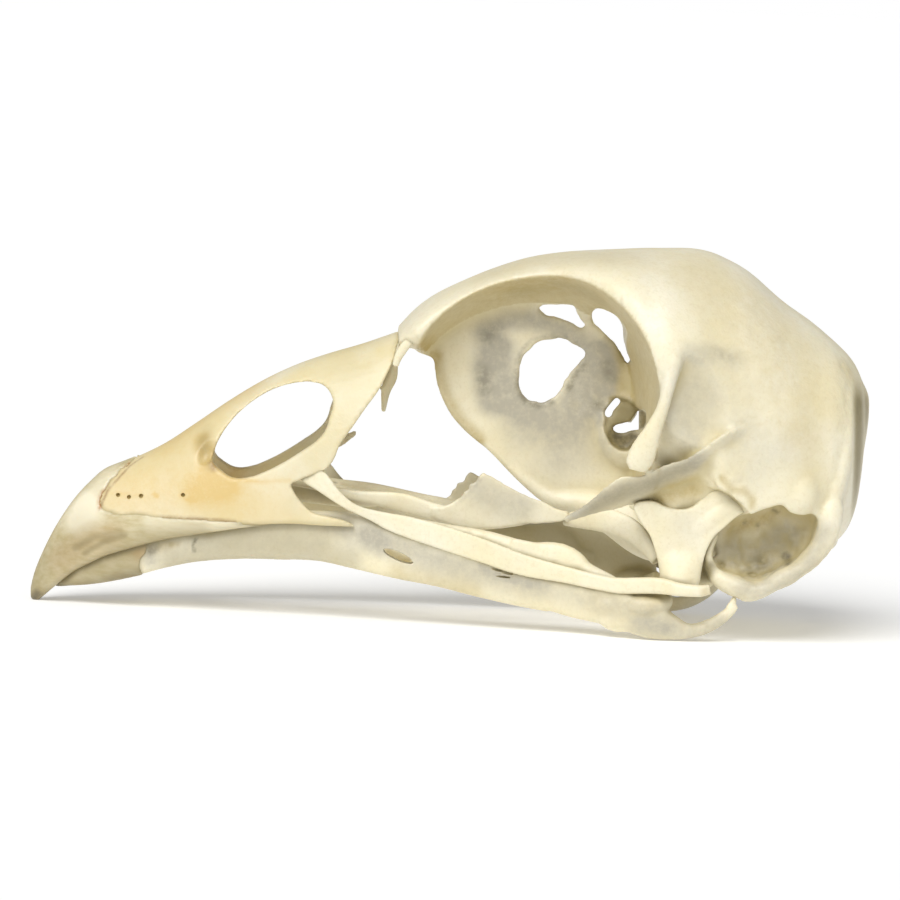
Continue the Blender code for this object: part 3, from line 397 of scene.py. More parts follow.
cranium = {
    "voxel": 0.34, "smooth": 4, "septumThick": 0.9,  # size of the voxels, rounds of smoothing
    "hull": [
        (44.8, 31.4, 32.2, 33.7, 6.4, 2, 2.4), (47, 31, 33.6, 36, 9.3, 2, 2),
        (49.5, 30, 35.6, 37.8, 9, 2, 1.9), (53, 29.5, 37.6, 39.5, 8.2, 2, 1.8),
        (57, 29.5, 39.3, 41.1, 7.7, 2, 1.8), (61, 29, 40.2, 42.3, 7.7, 2, 1.8),
        (65, 28, 40.5, 42.9, 9, 2, 1.9), (68, 25, 39.8, 43.1, 11.2, 2, 2),
        (70.5, 20, 38.2, 43.2, 13.4, 1.8, 2.1), (73, 12, 34.5, 43.3, 15.8, 1.5, 2.2),
        (75, 8, 31, 43.4, 17.4, 1.4, 2.1), (77.3, 6.4, 28, 43.4, 18.5, 1.4, 2.1),
        (80.5, 5.4, 26, 43.4, 18.2, 1.5, 2), (82.6, 4.7, 25, 43.1, 17.3, 1.9, 2),
        (84.6, 4, 24.2, 42.4, 16.8, 3.4, 2), (88, 3.6, 23, 40.5, 16.5, 4.2, 2),
        (92, 4, 21.6, 37, 16, 3.8, 2), (95.5, 5.2, 20.8, 34.5, 14.8, 3, 2),
        (98, 6.8, 20.5, 32.4, 13.8, 2.6, 2.1), (99.8, 8.4, 20.5, 30.7, 11.8, 2.3, 2.1),
        (100.8, 10.6, 20.8, 29.5, 9.8, 2.3, 2.1), (101.4, 13.6, 21.4, 28.4, 8, 2.3, 2.2),
        (101.9, 17.4, 22.2, 27.2, 5.8, 2.2, 2.2), (102.5, 20.6, 23.4, 26, 3.6, 2, 2),
        (102.8, 23.2, 24.2, 25.2, 1.4, 2, 2)],
    # the eye socket from the septum out: distance out, front x, rear x, top z
    "socket": [
        (0.45, 46, 73.5, 36.4), (2, 45.5, 74, 37.6), (4.5, 45.2, 74.4, 39), (7.7, 45.2, 74.8, 40.2),
        (11, 44.8, 75.2, 40.8), (15, 44, 75.9, 41), (18.5, 43.4, 76.4, 41), (24, 43, 77.4, 41.6)],
    "socketMiddle": (62, 24, -8), "socketBend": (2, 2.2),  # squareness in front and behind
    "septum": [
        (45, 32.3), (46.5, 31.4), (47.4, 30.5), (48.3, 30.2), (49.1, 29.8), (49.5, 28.1), (49.7, 26.6),
        (50.2, 25), (51.1, 23.4), (52.5, 21.7), (54.8, 19.7), (57.2, 17.6), (59.2, 15.5), (61, 13.8),
        (63.6, 12), (70, 9), (78, 9), (78, 36), (66, 39), (50, 36)],
    "keel": [
        (49.7, 0, 29.4, 0.6, 0.5), (50, 0, 26.9, 0.65, 0.5), (51.2, 0, 23.9, 0.7, 0.5),
        (53.2, 0, 21.3, 0.6, 0.5), (56.4, 0, 18.6, 0.6, 0.5), (59.7, 0, 15.3, 0.8, 0.6),
        (63.5, 0, 12.6, 1.2, 1), (67, 0, 12, 1.6, 1.5), (71, 0, 10.6, 2.6, 2.6), (76, 0, 9, 5, 4.2),
        (82, 0, 8, 6.5, 4.2)],
    # openings drawn a hair large, because the smoothing draws their edges in; the broken edges' unevenness,
    # step, seed of the noise and reach to both sides
    "broken": {"window": (0.22, 0.35, 2, 3), "frontGap": (0.2, 0.35, 5, 3), "rearGap": (0.2, 0.35, 9, 7)},
    "window": [
        (59.7, 27.3), (59.9, 29.2), (60.4, 30.4), (61.2, 31.2), (62.5, 32), (64.4, 32.3), (65.9, 31.9),
        (67, 31.2), (67.9, 30.7), (67.4, 29.7), (66.6, 28.8), (66, 28), (65.3, 27), (64.9, 26.2),
        (64.3, 25.3), (63.3, 24.7), (62.4, 24.4), (61.4, 24.5), (60.4, 25), (59.8, 26.1)],
    "frontGap": [
        (61.9, 36.2), (63.2, 36.5), (64.2, 36.4), (65.8, 36.6), (66.5, 36.3), (66.8, 35.4), (67.2, 34.6),
        (67.9, 34), (68.4, 33.2), (67.7, 33.3), (66.8, 33.9), (65.4, 34.6), (64.2, 35), (62.9, 35.3)],
    "rearGap": [
        (68.7, 36), (69.4, 36.2), (70.4, 35.9), (71.4, 35.4), (72.2, 34.4), (72.7, 33.2), (72.7, 32),
        (73, 30.8), (73.5, 29.4), (73, 29.2), (72.3, 30.4), (71.6, 31.5), (70.8, 32.4), (69.9, 33.2),
        (69.1, 34), (68.6, 34.9)],
    "slit": [(65.7, 26), (66.7, 26.9), (67.4, 27.7), (66.9, 26.6), (65.8, 25.7)],
    "nerveCrescent": [
        (71.1, 21.25), (71.4, 20.85), (72.5, 20.6), (73.6, 20.95), (75.2, 21.4), (75.2, 23.3), (74.3, 23.3),
        (73.75, 22.5), (73.4, 22), (72.4, 21.75)],
    "nerveSliver": [(70.35, 22.6), (70.8, 24), (72.3, 25), (72, 24.2), (71.2, 23.2), (70.9, 22.5)],
    "nerveBulge": ((73.4, 0, 20.8), (4.2, 2.3, 5)), "nerveSlant": (0.05, -0.084),
    "nerveReach": (0.45, 6, 8, 3),  # the nerve's room from and to, its openings and the slit, distance out
    "nerveRoom": [
        (70.4, 22.5), (70.7, 23.6), (71.5, 24.5), (72.4, 24.8), (73.3, 24.4), (74.3, 23.7), (75.2, 23.2),
        (75.3, 21.4), (74.8, 20.2), (73.7, 19.1), (73.1, 18.5), (72, 18.6), (70.9, 19.5), (70.3, 20.7),
        (70.1, 21.8)],
    "postorbital": {
        left: [
            (77.8, 17.2, 31, 1.1, 1.2), (77.1, 17.8, 28, 1, 0.9), (76.4, 18.1, 25.2, 0.8, 0.8),
            (75.3, 18.1, 22.6, 0.8, 1.1), (74.3, 17.9, 20.4, 0.8, 1.6), (73.6, 17.6, 18.6, 0.8, 1.7),
            (73.3, 17.3, 17.5, 0.6, 1.1)],
        right: [
            (77.8, 17.2, 31, 1.1, 1.2), (77.1, 17.8, 28, 1, 0.9), (76.2, 18.1, 25.8, 0.8, 0.8),
            (74.9, 18, 23.8, 0.8, 1), (74.1, 17.8, 22.2, 0.8, 1.3), (73.8, 17.7, 21.2, 0.8, 1.2),
            (73.7, 17.6, 20.5, 0.6, 0.8)]},
    "zygomatic": [
        (87.4, 15.1, 21.9, 0.6, 1.1), (84.8, 15.9, 21, 0.6, 2.2), (82, 15.6, 18.9, 0.5, 2.5),
        (80, 15.2, 17.6, 0.45, 2.4), (77.1, 14.9, 16.5, 0.4, 2.7), (74.2, 14.6, 15, 0.4, 2.9),
        (72.2, 14.4, 14.7, 0.4, 3.2), (70.6, 14.1, 13.9, 0.4, 2.9), (69, 13.8, 13.1, 0.4, 1.9),
        (66.8, 13.4, 12, 0.4, 0.9), (64.7, 13, 11.1, 0.35, 0.45)],
    "bladeLean": (0.75, 0.66),  # the blade's face looks down and out
    "knobs": [
        (79.6, 12.6, 14.6, (1.3, 1.2, 1.2)), (81.6, 12.8, 15.6, (1.5, 1.3, 1.2)),
        (93.3, 14, 14.6, (2.3, 2, 2.8)), (79.3, 12.3, 14.8, (4.2, 1.3, 3)),
        (82.2, 12.9, 13.6, (1.7, 1.1, 1.9)), (78, 12.8, 13.4, (1.5, 1, 1.5)),
        (85, 12.3, 13.4, (2, 1.5, 2.3)), (78.8, 13, 19.7, (3.6, 2.2, 3)), (81.9, 10.9, 4.6, (1.9, 1, 2.2))],
    # hollows: centre, radii, lean in degrees
    "spineHole": ((100.6, 0, 12.4), (7.5, 4.3, 3.7), 30), "temple": ((80.6, 19.9, 24.8), (6.6, 3.9, 9.2), 8),
    "earBowl": ((89, 16.4, 8.2), (8.6, 7.2, 7.4), -12), "jawRoom": ((80.2, 15.6, 9), (7.6, 5.2, 6.8)),
    "underEar": ((98, 8.8, 4.4), (5.4, 3.4, 5), 20), "condyle": ((97.3, 0, 7.4), (1.9, 2, 1.6)),
    "earReach": (6, 24),
    "ear": [
        (82.6, 7.5), (82.7, 6.4), (83.2, 5.4), (84.3, 4.7), (85.7, 4.2), (87.2, 3.6), (87.9, 3.2),
        (89, 3.5), (90.1, 4.6), (91.2, 5.3), (92.5, 5.8), (93.7, 6.7), (94.7, 8), (95.1, 9.4), (95.4, 11.1),
        (95, 11.8), (93.6, 11.8), (92.2, 12.1), (91.6, 12.5), (91.3, 13), (89.3, 12.8), (87.4, 12.1),
        (85.4, 11.1), (84, 10), (83, 8.8)],
    "earRim": [
        (83.2, 12.6, 9.6, 0.5, 0.8), (82.2, 12.6, 6.9, 0.6, 0.9), (82.7, 12.9, 4.9, 0.8, 1),
        (83.7, 13.1, 3.85, 1.1, 1.1), (85.1, 13.4, 3.15, 1.25, 1.2), (86.7, 13.6, 2.5, 1.3, 1.2),
        (88, 13.6, 2.35, 1, 1.1), (89.4, 13.6, 2.95, 0.95, 1.1), (90.9, 13.7, 3.85, 1.15, 1.2),
        (92.7, 13.8, 4.75, 1.05, 1.1), (94.2, 13.8, 5.85, 1, 1.1), (95.5, 13.8, 7.2, 1.2, 1.1),
        (96.4, 13.6, 9, 1.35, 1.2), (97, 13.4, 10.8, 1.5, 1.2), (97.2, 12.8, 13, 1.5, 1.3)],
    "earFloor": [
        (82.8, 10.6, 4.8, 1.6, 0.6), (85, 11, 3.8, 2.2, 0.7), (88, 11.2, 3, 2.6, 0.7),
        (91, 11.4, 4.2, 2.6, 0.7), (93.8, 11.6, 6, 2.4, 0.7), (95.8, 12, 8.4, 2, 0.8)],
    "neckCrest": [
        (96.6, 12.4, 12.5, 1.5, 1.6), (98.2, 12.2, 17.5, 1.5, 1.4), (98.8, 11.2, 22.5, 1.5, 1.2),
        (99, 8.6, 26.6, 1.3, 1), (99.1, 4.8, 29, 1.2, 0.9), (99.2, 0, 29.6, 1.2, 0.9)],
}


def eyeSocket(side, corners=44):
    middleX, middleZ, floorZ = cranium["socketMiddle"]
    bendFront, bendRear = cranium["socketBend"]
    rings = []
    for out, front, rear, top in easedRows(cranium["socket"], 4):
        ring = []
        for step in range(corners + 1):
            angle = math.pi * step / corners
            c, s = math.cos(angle), math.sin(angle)
            reach, power = (rear - middleX, bendRear) if c > 0 else (middleX - front, bendFront)
            ring.append((middleX + reach * squareOff(c, power), side * out,
                         middleZ + (top - middleZ) * squareOff(s, power)))
        ring += [(front, side * out, floorZ), (rear, side * out, floorZ)]
        rings.append(ring)
    return ringLoft(f"socket{side}", rings)


def makeCranium():
    thick = cranium["septumThick"] / 2
    near, far = cranium["earReach"]
    head = hullLoft("head", cranium["hull"], sides=72, steps=4)
    hollows = [eyeSocket(left), eyeSocket(right), ball("spineHole", *cranium["spineHole"])]
    for side in both:
        hollows.append(sideBall("temple", side, *cranium["temple"]))
        bowl = sideBall("earBowl", side, *cranium["earBowl"])
        hollows.append(carve(bowl, "INTERSECT", [slab("earEdge", cranium["ear"], side * near, side * far)]))
        hollows += [sideBall(name, side, *cranium[name]) for name in ("jawRoom", "underEar")]
    carve(head, "DIFFERENCE", hollows)
    carve(head, "UNION", [slab("septum", cranium["septum"], -thick, thick),
                          barLoft("keel", left, cranium["keel"]),
                          ball("nerveBulge", *cranium["nerveBulge"])])
    gaps = [slab(name, ragged(cranium[name], uneven, step, seed), -reach, reach, smooth=False)
            for name, (uneven, step, seed, reach) in cranium["broken"].items()]
    inner, outer, through, short = cranium["nerveReach"]
    gaps.append(slab("slit", cranium["slit"], -short, short))
    gaps += [slab(f"nerveRoom{side}", cranium["nerveRoom"], side * inner, side * outer) for side in both]
    back, down = cranium["nerveSlant"]
    slant = Matrix(((1, back, 0, 0), (0, 1, 0, 0), (0, down, 1, 0), (0, 0, 0, 1)))
    for name in ("nerveCrescent", "nerveSliver"):  # slanted, so that light falls through
        gaps.append(slab(name, cranium[name], -through, through))
        gaps[-1].data.transform(slant)
    carve(head, "DIFFERENCE", gaps)
    extras = []
    for name, up in (("earRim", (0, 1, 0)), ("earFloor", (0, 0, 1)), ("neckCrest", (1, 0, 0))):
        extras += pair(barLoft, name, cranium[name], up=up)
    leanOut, leanUp = cranium["bladeLean"]
    for side in both:
        extras.append(barLoft(f"blade{side}", side, cranium["zygomatic"], up=(0, side * leanOut, leanUp)))
        extras.append(barLoft(f"postorbital{side}", side, cranium["postorbital"][side], up=(1, 0, 0)))
        extras += [sideBall("knob", side, (x, y, z), size) for x, y, z, size in cranium["knobs"]]
    extras.append(ball("condyle", *cranium["condyle"]))
    return growBone("cranium", [head] + extras, cranium["voxel"], cranium["smooth"])


skull = {"cranium": makeCranium()}
print("cranium grown,", len(skull["cranium"].data.polygons) * 2, "triangles")

# Bill: one arched shell, parted along the edge of the horn sheath

bill = {
    "voxel": 0.26, "smooth": 3,
    "hull": [
        (-0.45, 0.3, 0.8, 1.7, 0.3, 2, 2), (0, 0, 1, 3.4, 0.8, 2, 2), (0.7, 0.5, 1.6, 5.2, 1.3, 2.4, 1.9),
        (2.1, 1.7, 2.8, 8.1, 2.3, 3, 1.9), (3.6, 2.9, 4, 10.6, 3.1, 3, 1.9),
        (5.2, 4, 5.1, 12.8, 3.8, 3, 1.9), (6.9, 4.9, 6, 14.6, 4.5, 3, 1.9),
        (8.8, 5.8, 6.9, 16.2, 5.1, 3, 1.9), (12, 6.8, 7.9, 17.5, 6, 3, 1.9),
        (16, 7.9, 9, 19.4, 6.9, 3, 1.9), (20, 8.6, 9.7, 22, 7.8, 3, 2), (24, 9.2, 10.3, 24.7, 8.4, 3, 2),
        (28, 9.7, 10.8, 27.1, 9.1, 3, 2), (32, 9.8, 11, 29, 9.7, 3, 2.1), (36, 9.5, 11, 30.4, 10.3, 3, 2.2),
        (40.5, 9.3, 11, 31.7, 10.6, 3, 2.3), (44.9, 9.3, 11, 33.2, 10.3, 3, 2.5)],
    "cavity": [
        (19, -4, 10, 15, 1.5, 2, 2), (20.6, -4, 10, 18.6, 4.4, 3, 2), (23, -4, 10, 21.2, 6.6, 3, 2),
        (28, -4, 10, 24.9, 7.9, 3, 2), (33, -4, 10, 27.2, 8.6, 3, 2.1), (38, -4, 10, 28.8, 9.2, 3, 2.2),
        (46, -4, 10, 31.2, 9.4, 3, 2.5)],
    "mouth": [
        (1.6, -6, 0, 2.6, 0.5, 3, 2), (4, -6, 1, 5.4, 2.1, 3, 2), (8, -6, 2, 8.2, 3.6, 3, 2),
        (12, -6, 3, 10, 4.8, 3, 2), (16, -6, 4, 11.3, 5.7, 3, 2), (20, -6, 5, 12.3, 6.6, 3, 2),
        (25, -6, 6, 13, 7.3, 3, 2), (30, -6, 6, 13, 7.9, 3, 2)],
    "nostril": [
        (22.3, 19), (23, 20.6), (24.1, 22.2), (25.4, 23.6), (27.3, 25.1), (29.7, 26.4), (32, 27.1),
        (34.1, 27.3), (35.7, 26.9), (36.6, 25.8), (36.8, 24.7), (36.4, 23.3), (35.9, 21.7), (34.8, 20.4),
        (33.1, 19.2), (30.7, 17.7), (28.3, 16.5), (26.6, 15.9), (24.6, 15.8), (23, 16.7), (22.1, 17.7)],
    "behind": [
        (45.4, 32.7), (44.1, 29.9), (43.1, 27.8), (42.3, 26.4), (40.8, 24.4), (39.1, 22), (38, 20.5),
        (37.4, 19.5), (37, 18.4), (36.1, 17.2), (35, 16.6), (33.5, 16), (32.4, 15.5), (31.7, 15.2),
        (32, 14.3), (32.9, 13), (34.2, 11.8), (36.4, 11.2), (38.6, 10.6), (40.9, 9.1), (43, 8), (60, 8),
        (60, 32.7)],
    "hook": [
        (35.6, 9.6, 18.6, 0.6, 0.8), (37.2, 9.8, 18.7, 0.5, 0.8), (38.6, 9.9, 19.3, 0.4, 0.5),
        (39.6, 9.9, 19.9, 0.35, 0.3)],
    "holes": [(118, 495, 0.26), (129, 497, 0.26), (141, 496, 0.28), (183, 495, 0.26)],
    "sheathEdge": [
        (14.5, 19.5), (13.1, 18), (12.1, 17.3), (11.4, 16.6), (10.7, 16.3), (10, 15.4), (9.4, 15),
        (9, 14.1), (8.5, 13.4), (8.2, 12.2), (8.6, 11.5), (10.4, 11), (13, 11.2), (15.7, 10.8),
        (20.6, 10.6), (25, 10.4), (29.6, 10)],
    "sheathUnder": 0.9, "sheathLift": 0.16, "hornVoxel": 0.22, "holeDeep": 0.5,
    "outside": [(29.8, 4), (-6, -6), (-6, 24)],  # takes the sheath's edge round the bill's tip
    "pit": ((21.4, 6.3, 19.5), (1.3, 1.3, 2.3), 20), "reach": 14, "apart": 20,
}


def makeBill():
    shell = hullLoft("bill", bill["hull"], sides=64)
    reach, apart, outside = bill["reach"], bill["apart"], bill["outside"]
    tools = [hullLoft(name, bill[name], sides=48) for name in ("cavity", "mouth")]
    tools += [slab(name, bill[name], -reach, reach) for name in ("nostril", "behind")]
    tools += [sideBall("pit", side, *bill["pit"]) for side in both]
    carve(shell, "DIFFERENCE", tools)
    edge = np.array(bill["sheathEdge"])
    along = np.gradient(edge, axis=0)
    inward = np.stack([-along[:, 1], along[:, 0]], axis=1)
    inward /= np.linalg.norm(inward, axis=1, keepdims=True)
    covered = [tuple(spot) for spot in edge - inward * bill["sheathUnder"]]
    horn = place("upperHorn", shell.data.copy())
    carve(horn, "INTERSECT", [slab("sheath", bill["sheathEdge"] + outside, -apart, apart, smooth=False)])
    carve(shell, "DIFFERENCE", [slab("core", covered + outside, -apart, apart, smooth=False)])
    hook = barLoft("hook", right, bill["hook"])
    bone = growBone("billBone", [shell, hook], bill["voxel"], bill["smooth"])
    horn = growBone("upperHorn", [horn], bill["hornVoxel"], bill["smooth"])
    moveCorners(horn, cornersOf(horn) + normalsOf(horn) * bill["sheathLift"])
    for px, py, wide in bill["holes"]:  # the row of small holes for the bill's nerves
        for x, y, z in seenOn(skinOf(bone), [(px, py)]):
            size = (wide, bill["holeDeep"], wide)
            carve(bone, "DIFFERENCE", [sideBall(f"hole{px}", side, (x, -y, z), size, segments=16)
                                       for side in both])
    return bone, horn


skull["billBone"], skull["upperHorn"] = makeBill()
print("bill grown,", len(skull["billBone"].data.polygons) * 2, len(skull["upperHorn"].data.polygons) * 2)

# Lower jaw

jaw = {
    "voxel": 0.26, "smooth": 2,
    "ramus": [
        (3, 0.6, 2.9, 0.6, 0.9), (5, 1.9, 3.4, 0.7, 1.3), (8, 2.9, 4.3, 0.8, 1.8), (12, 4.1, 5.6, 0.8, 2.2),
        (16, 4.9, 6.9, 0.8, 2.4), (20, 5.6, 8, 0.8, 2.7), (25, 6.3, 8.6, 0.8, 2.9), (30, 7, 8.8, 0.8, 3.1),
        (35, 7.7, 8.7, 0.85, 3.1), (40, 8.4, 8.15, 0.9, 3.55), (45, 9.1, 7.35, 0.95, 3.85),
        (50, 9.8, 6.5, 1, 3.9), (55, 10.5, 5.5, 1.1, 4.1), (60, 11.1, 4.3, 1.1, 4),
        (63.8, 11.6, 3.9, 1.1, 4.3), (66.4, 12.1, 2.6, 1.2, 3.6), (69.5, 12.9, 1.5, 1.4, 3.1),
        (73, 13.8, 0, 1.8, 2.5), (75.6, 14.1, -1.1, 1.8, 2.2), (78, 14.2, -1.95, 1.3, 1.45),
        (79.8, 14.2, -2.3, 1, 0.9), (81.5, 14.1, -2, 0.8, 0.8), (83.2, 13.9, -1.2, 0.7, 0.75),
        (84.6, 13.8, -0.2, 0.6, 0.65), (85.5, 13.7, 0.8, 0.5, 0.5)],
    "beakTip": [(84.8, 13.8, 0.4, 0.5, 0.5), (85.3, 13.7, 1.3, 0.45, 0.4), (85.2, 13.6, 1.8, 0.3, 0.25)],
    "knobs": [
        (70.9, 13.7, 0.7, (2.6, 1.3, 1.5)), (74.2, 14.2, 0.9, (2, 1.6, 1.3)),
        (75.8, 14.3, -0.4, (1.6, 1.5, 1.6)), (71.8, 13.7, -1, (2.8, 1.3, 1.5))],
    "coronoid": [
        (58.5, 8.8), (61, 8.3), (62.4, 8), (64.75, 8.1), (65.2, 7.5), (65.5, 6.3), (67.3, 5.2), (69.4, 4.3),
        (69, 2.5), (62, 4), (58.5, 6)],
    "farWall": [
        (59.5, 6.2), (63, 8.2), (66.4, 8.8), (68.6, 8.6), (70.4, 8.2), (72, 7.3), (73, 6.7), (73.8, 6.2),
        (74.3, 5.5), (74.9, 5.7), (75.4, 5.3), (76, 5.6), (76.8, 5), (77.4, 4.2), (77.4, 2), (70, 1),
        (62, 3)],
    "chin": [
        (2.6, 1.8, 2.2, 2.8, 0.7, 2, 2), (4, 1.9, 2.6, 3.6, 2, 2, 2), (8, 2.5, 3.3, 4.2, 3.3, 2, 2),
        (12, 3.4, 4.4, 5.4, 4.4, 2, 2), (15, 4.4, 5.4, 6.4, 4.9, 2, 2), (17.4, 5.3, 6.2, 7, 5, 2, 2),
        (18.6, 5.9, 6.5, 7, 4.8, 2, 2)],
    "innerWall": [
        (60.5, 10.5, 5.6, 0.5, 1.4), (64, 11, 4.6, 0.6, 1.4), (67.5, 11.5, 3.2, 0.6, 1.4),
        (71, 12.3, 2.2, 0.6, 1.3), (73.5, 12.9, 1.6, 0.6, 1)],
    "innerSpur": [(75.2, 12, 0.6, 1.2, 1.2), (76.2, 9.6, 1, 1, 1), (77.2, 7.2, 2, 0.7, 0.6)],
    "sheathEdge": [
        (13.8, -6), (13.9, 3), (13.3, 3.6), (12.9, 4.6), (13, 5.6), (13.7, 6.4), (13.9, 7.4), (14.2, 20)],
    "sheathLift": 0.12, "sheathOverlap": 0.6, "apart": 20,
    "tip": [(-8, 20), (-8, -6)], "behind": [(30, 20), (140, 20), (140, -20)],
    "socket": ((74.6, 13, 1), (3.4, 3.6, 1.7), -4), "slit": ((44.7, 9.2, 6.4), (2, 4, 0.55), 24),
    "coronoidReach": (11.3, 12.1), "farWallReach": (11.6, 12.5), "breakDeep": 0.3,
    # small breaks in the outer wall: pixel of the picture, half length, half height, slope
    "breaks": [
        (497, 570, 0.7, 0.16, 14), (507, 573, 0.8, 0.2, 14), (503, 577, 0.9, 0.14, 6),
        (517, 572, 0.35, 0.2, 0)],
}


def makeJaw():
    bodies = pair(barLoft, "ramus", jaw["ramus"], sides=28, power=3.0)
    bodies.append(hullLoft("chin", jaw["chin"], sides=40))
    bodies += [sideBall("jawSocket", side, *jaw["socket"]) for side in both]
    bodies += pair(barLoft, "beakTip", jaw["beakTip"], up=(1, 0, 0))
    bodies += pair(barLoft, "innerWall", jaw["innerWall"])
    bodies += pair(barLoft, "innerSpur", jaw["innerSpur"], up=(1, 0, 0))
    inner, outer = jaw["coronoidReach"]
    bodies += [slab(f"coronoid{side}", jaw["coronoid"], side * inner, side * outer, smooth=False)
               for side in both]
    # a taller wall inside the far jaw only, filling the dark space between the bones behind the cheek; it
    # carries painted shade
    bodies.append(slab("farWall", jaw["farWall"], *jaw["farWallReach"], smooth=False))
    for side in both:
        bodies += [sideBall("knob", side, (x, y, z), size) for x, y, z, size in jaw["knobs"]]
    apart = jaw["apart"]
    whole = growBone("mandible", bodies, jaw["voxel"], jaw["smooth"])
    slits, skin = [], skinOf(whole)
    for side in both:
        slits.append(sideBall("slit", side, *jaw["slit"], segments=24))
        for px, py, long, high, slope in jaw["breaks"]:
            slits += [sideBall("break", side, (x, -y, z), (long, jaw["breakDeep"], high), slope, segments=20)
                      for x, y, z in seenOn(skin, [(px, py)])]
    carve(whole, "DIFFERENCE", slits)
    behind = [(x - jaw["sheathOverlap"], z) for x, z in jaw["sheathEdge"]] + jaw["behind"]
    horn = place("lowerHorn", whole.data.copy())
    carve(horn, "INTERSECT", [slab("tip", jaw["sheathEdge"] + jaw["tip"], -apart, apart, smooth=False)])
    carve(whole, "INTERSECT", [slab("jawBone", behind, -2 * apart, 2 * apart, smooth=False)])
    moveCorners(horn, cornersOf(horn) + normalsOf(horn) * jaw["sheathLift"])
    return whole, horn


skull["mandible"], skull["lowerHorn"] = makeJaw()
print("jaw grown,", len(skull["mandible"].data.polygons) * 2, len(skull["lowerHorn"].data.polygons) * 2)

# Cheek, palate, tear bones and the forked bone at the jaw joint

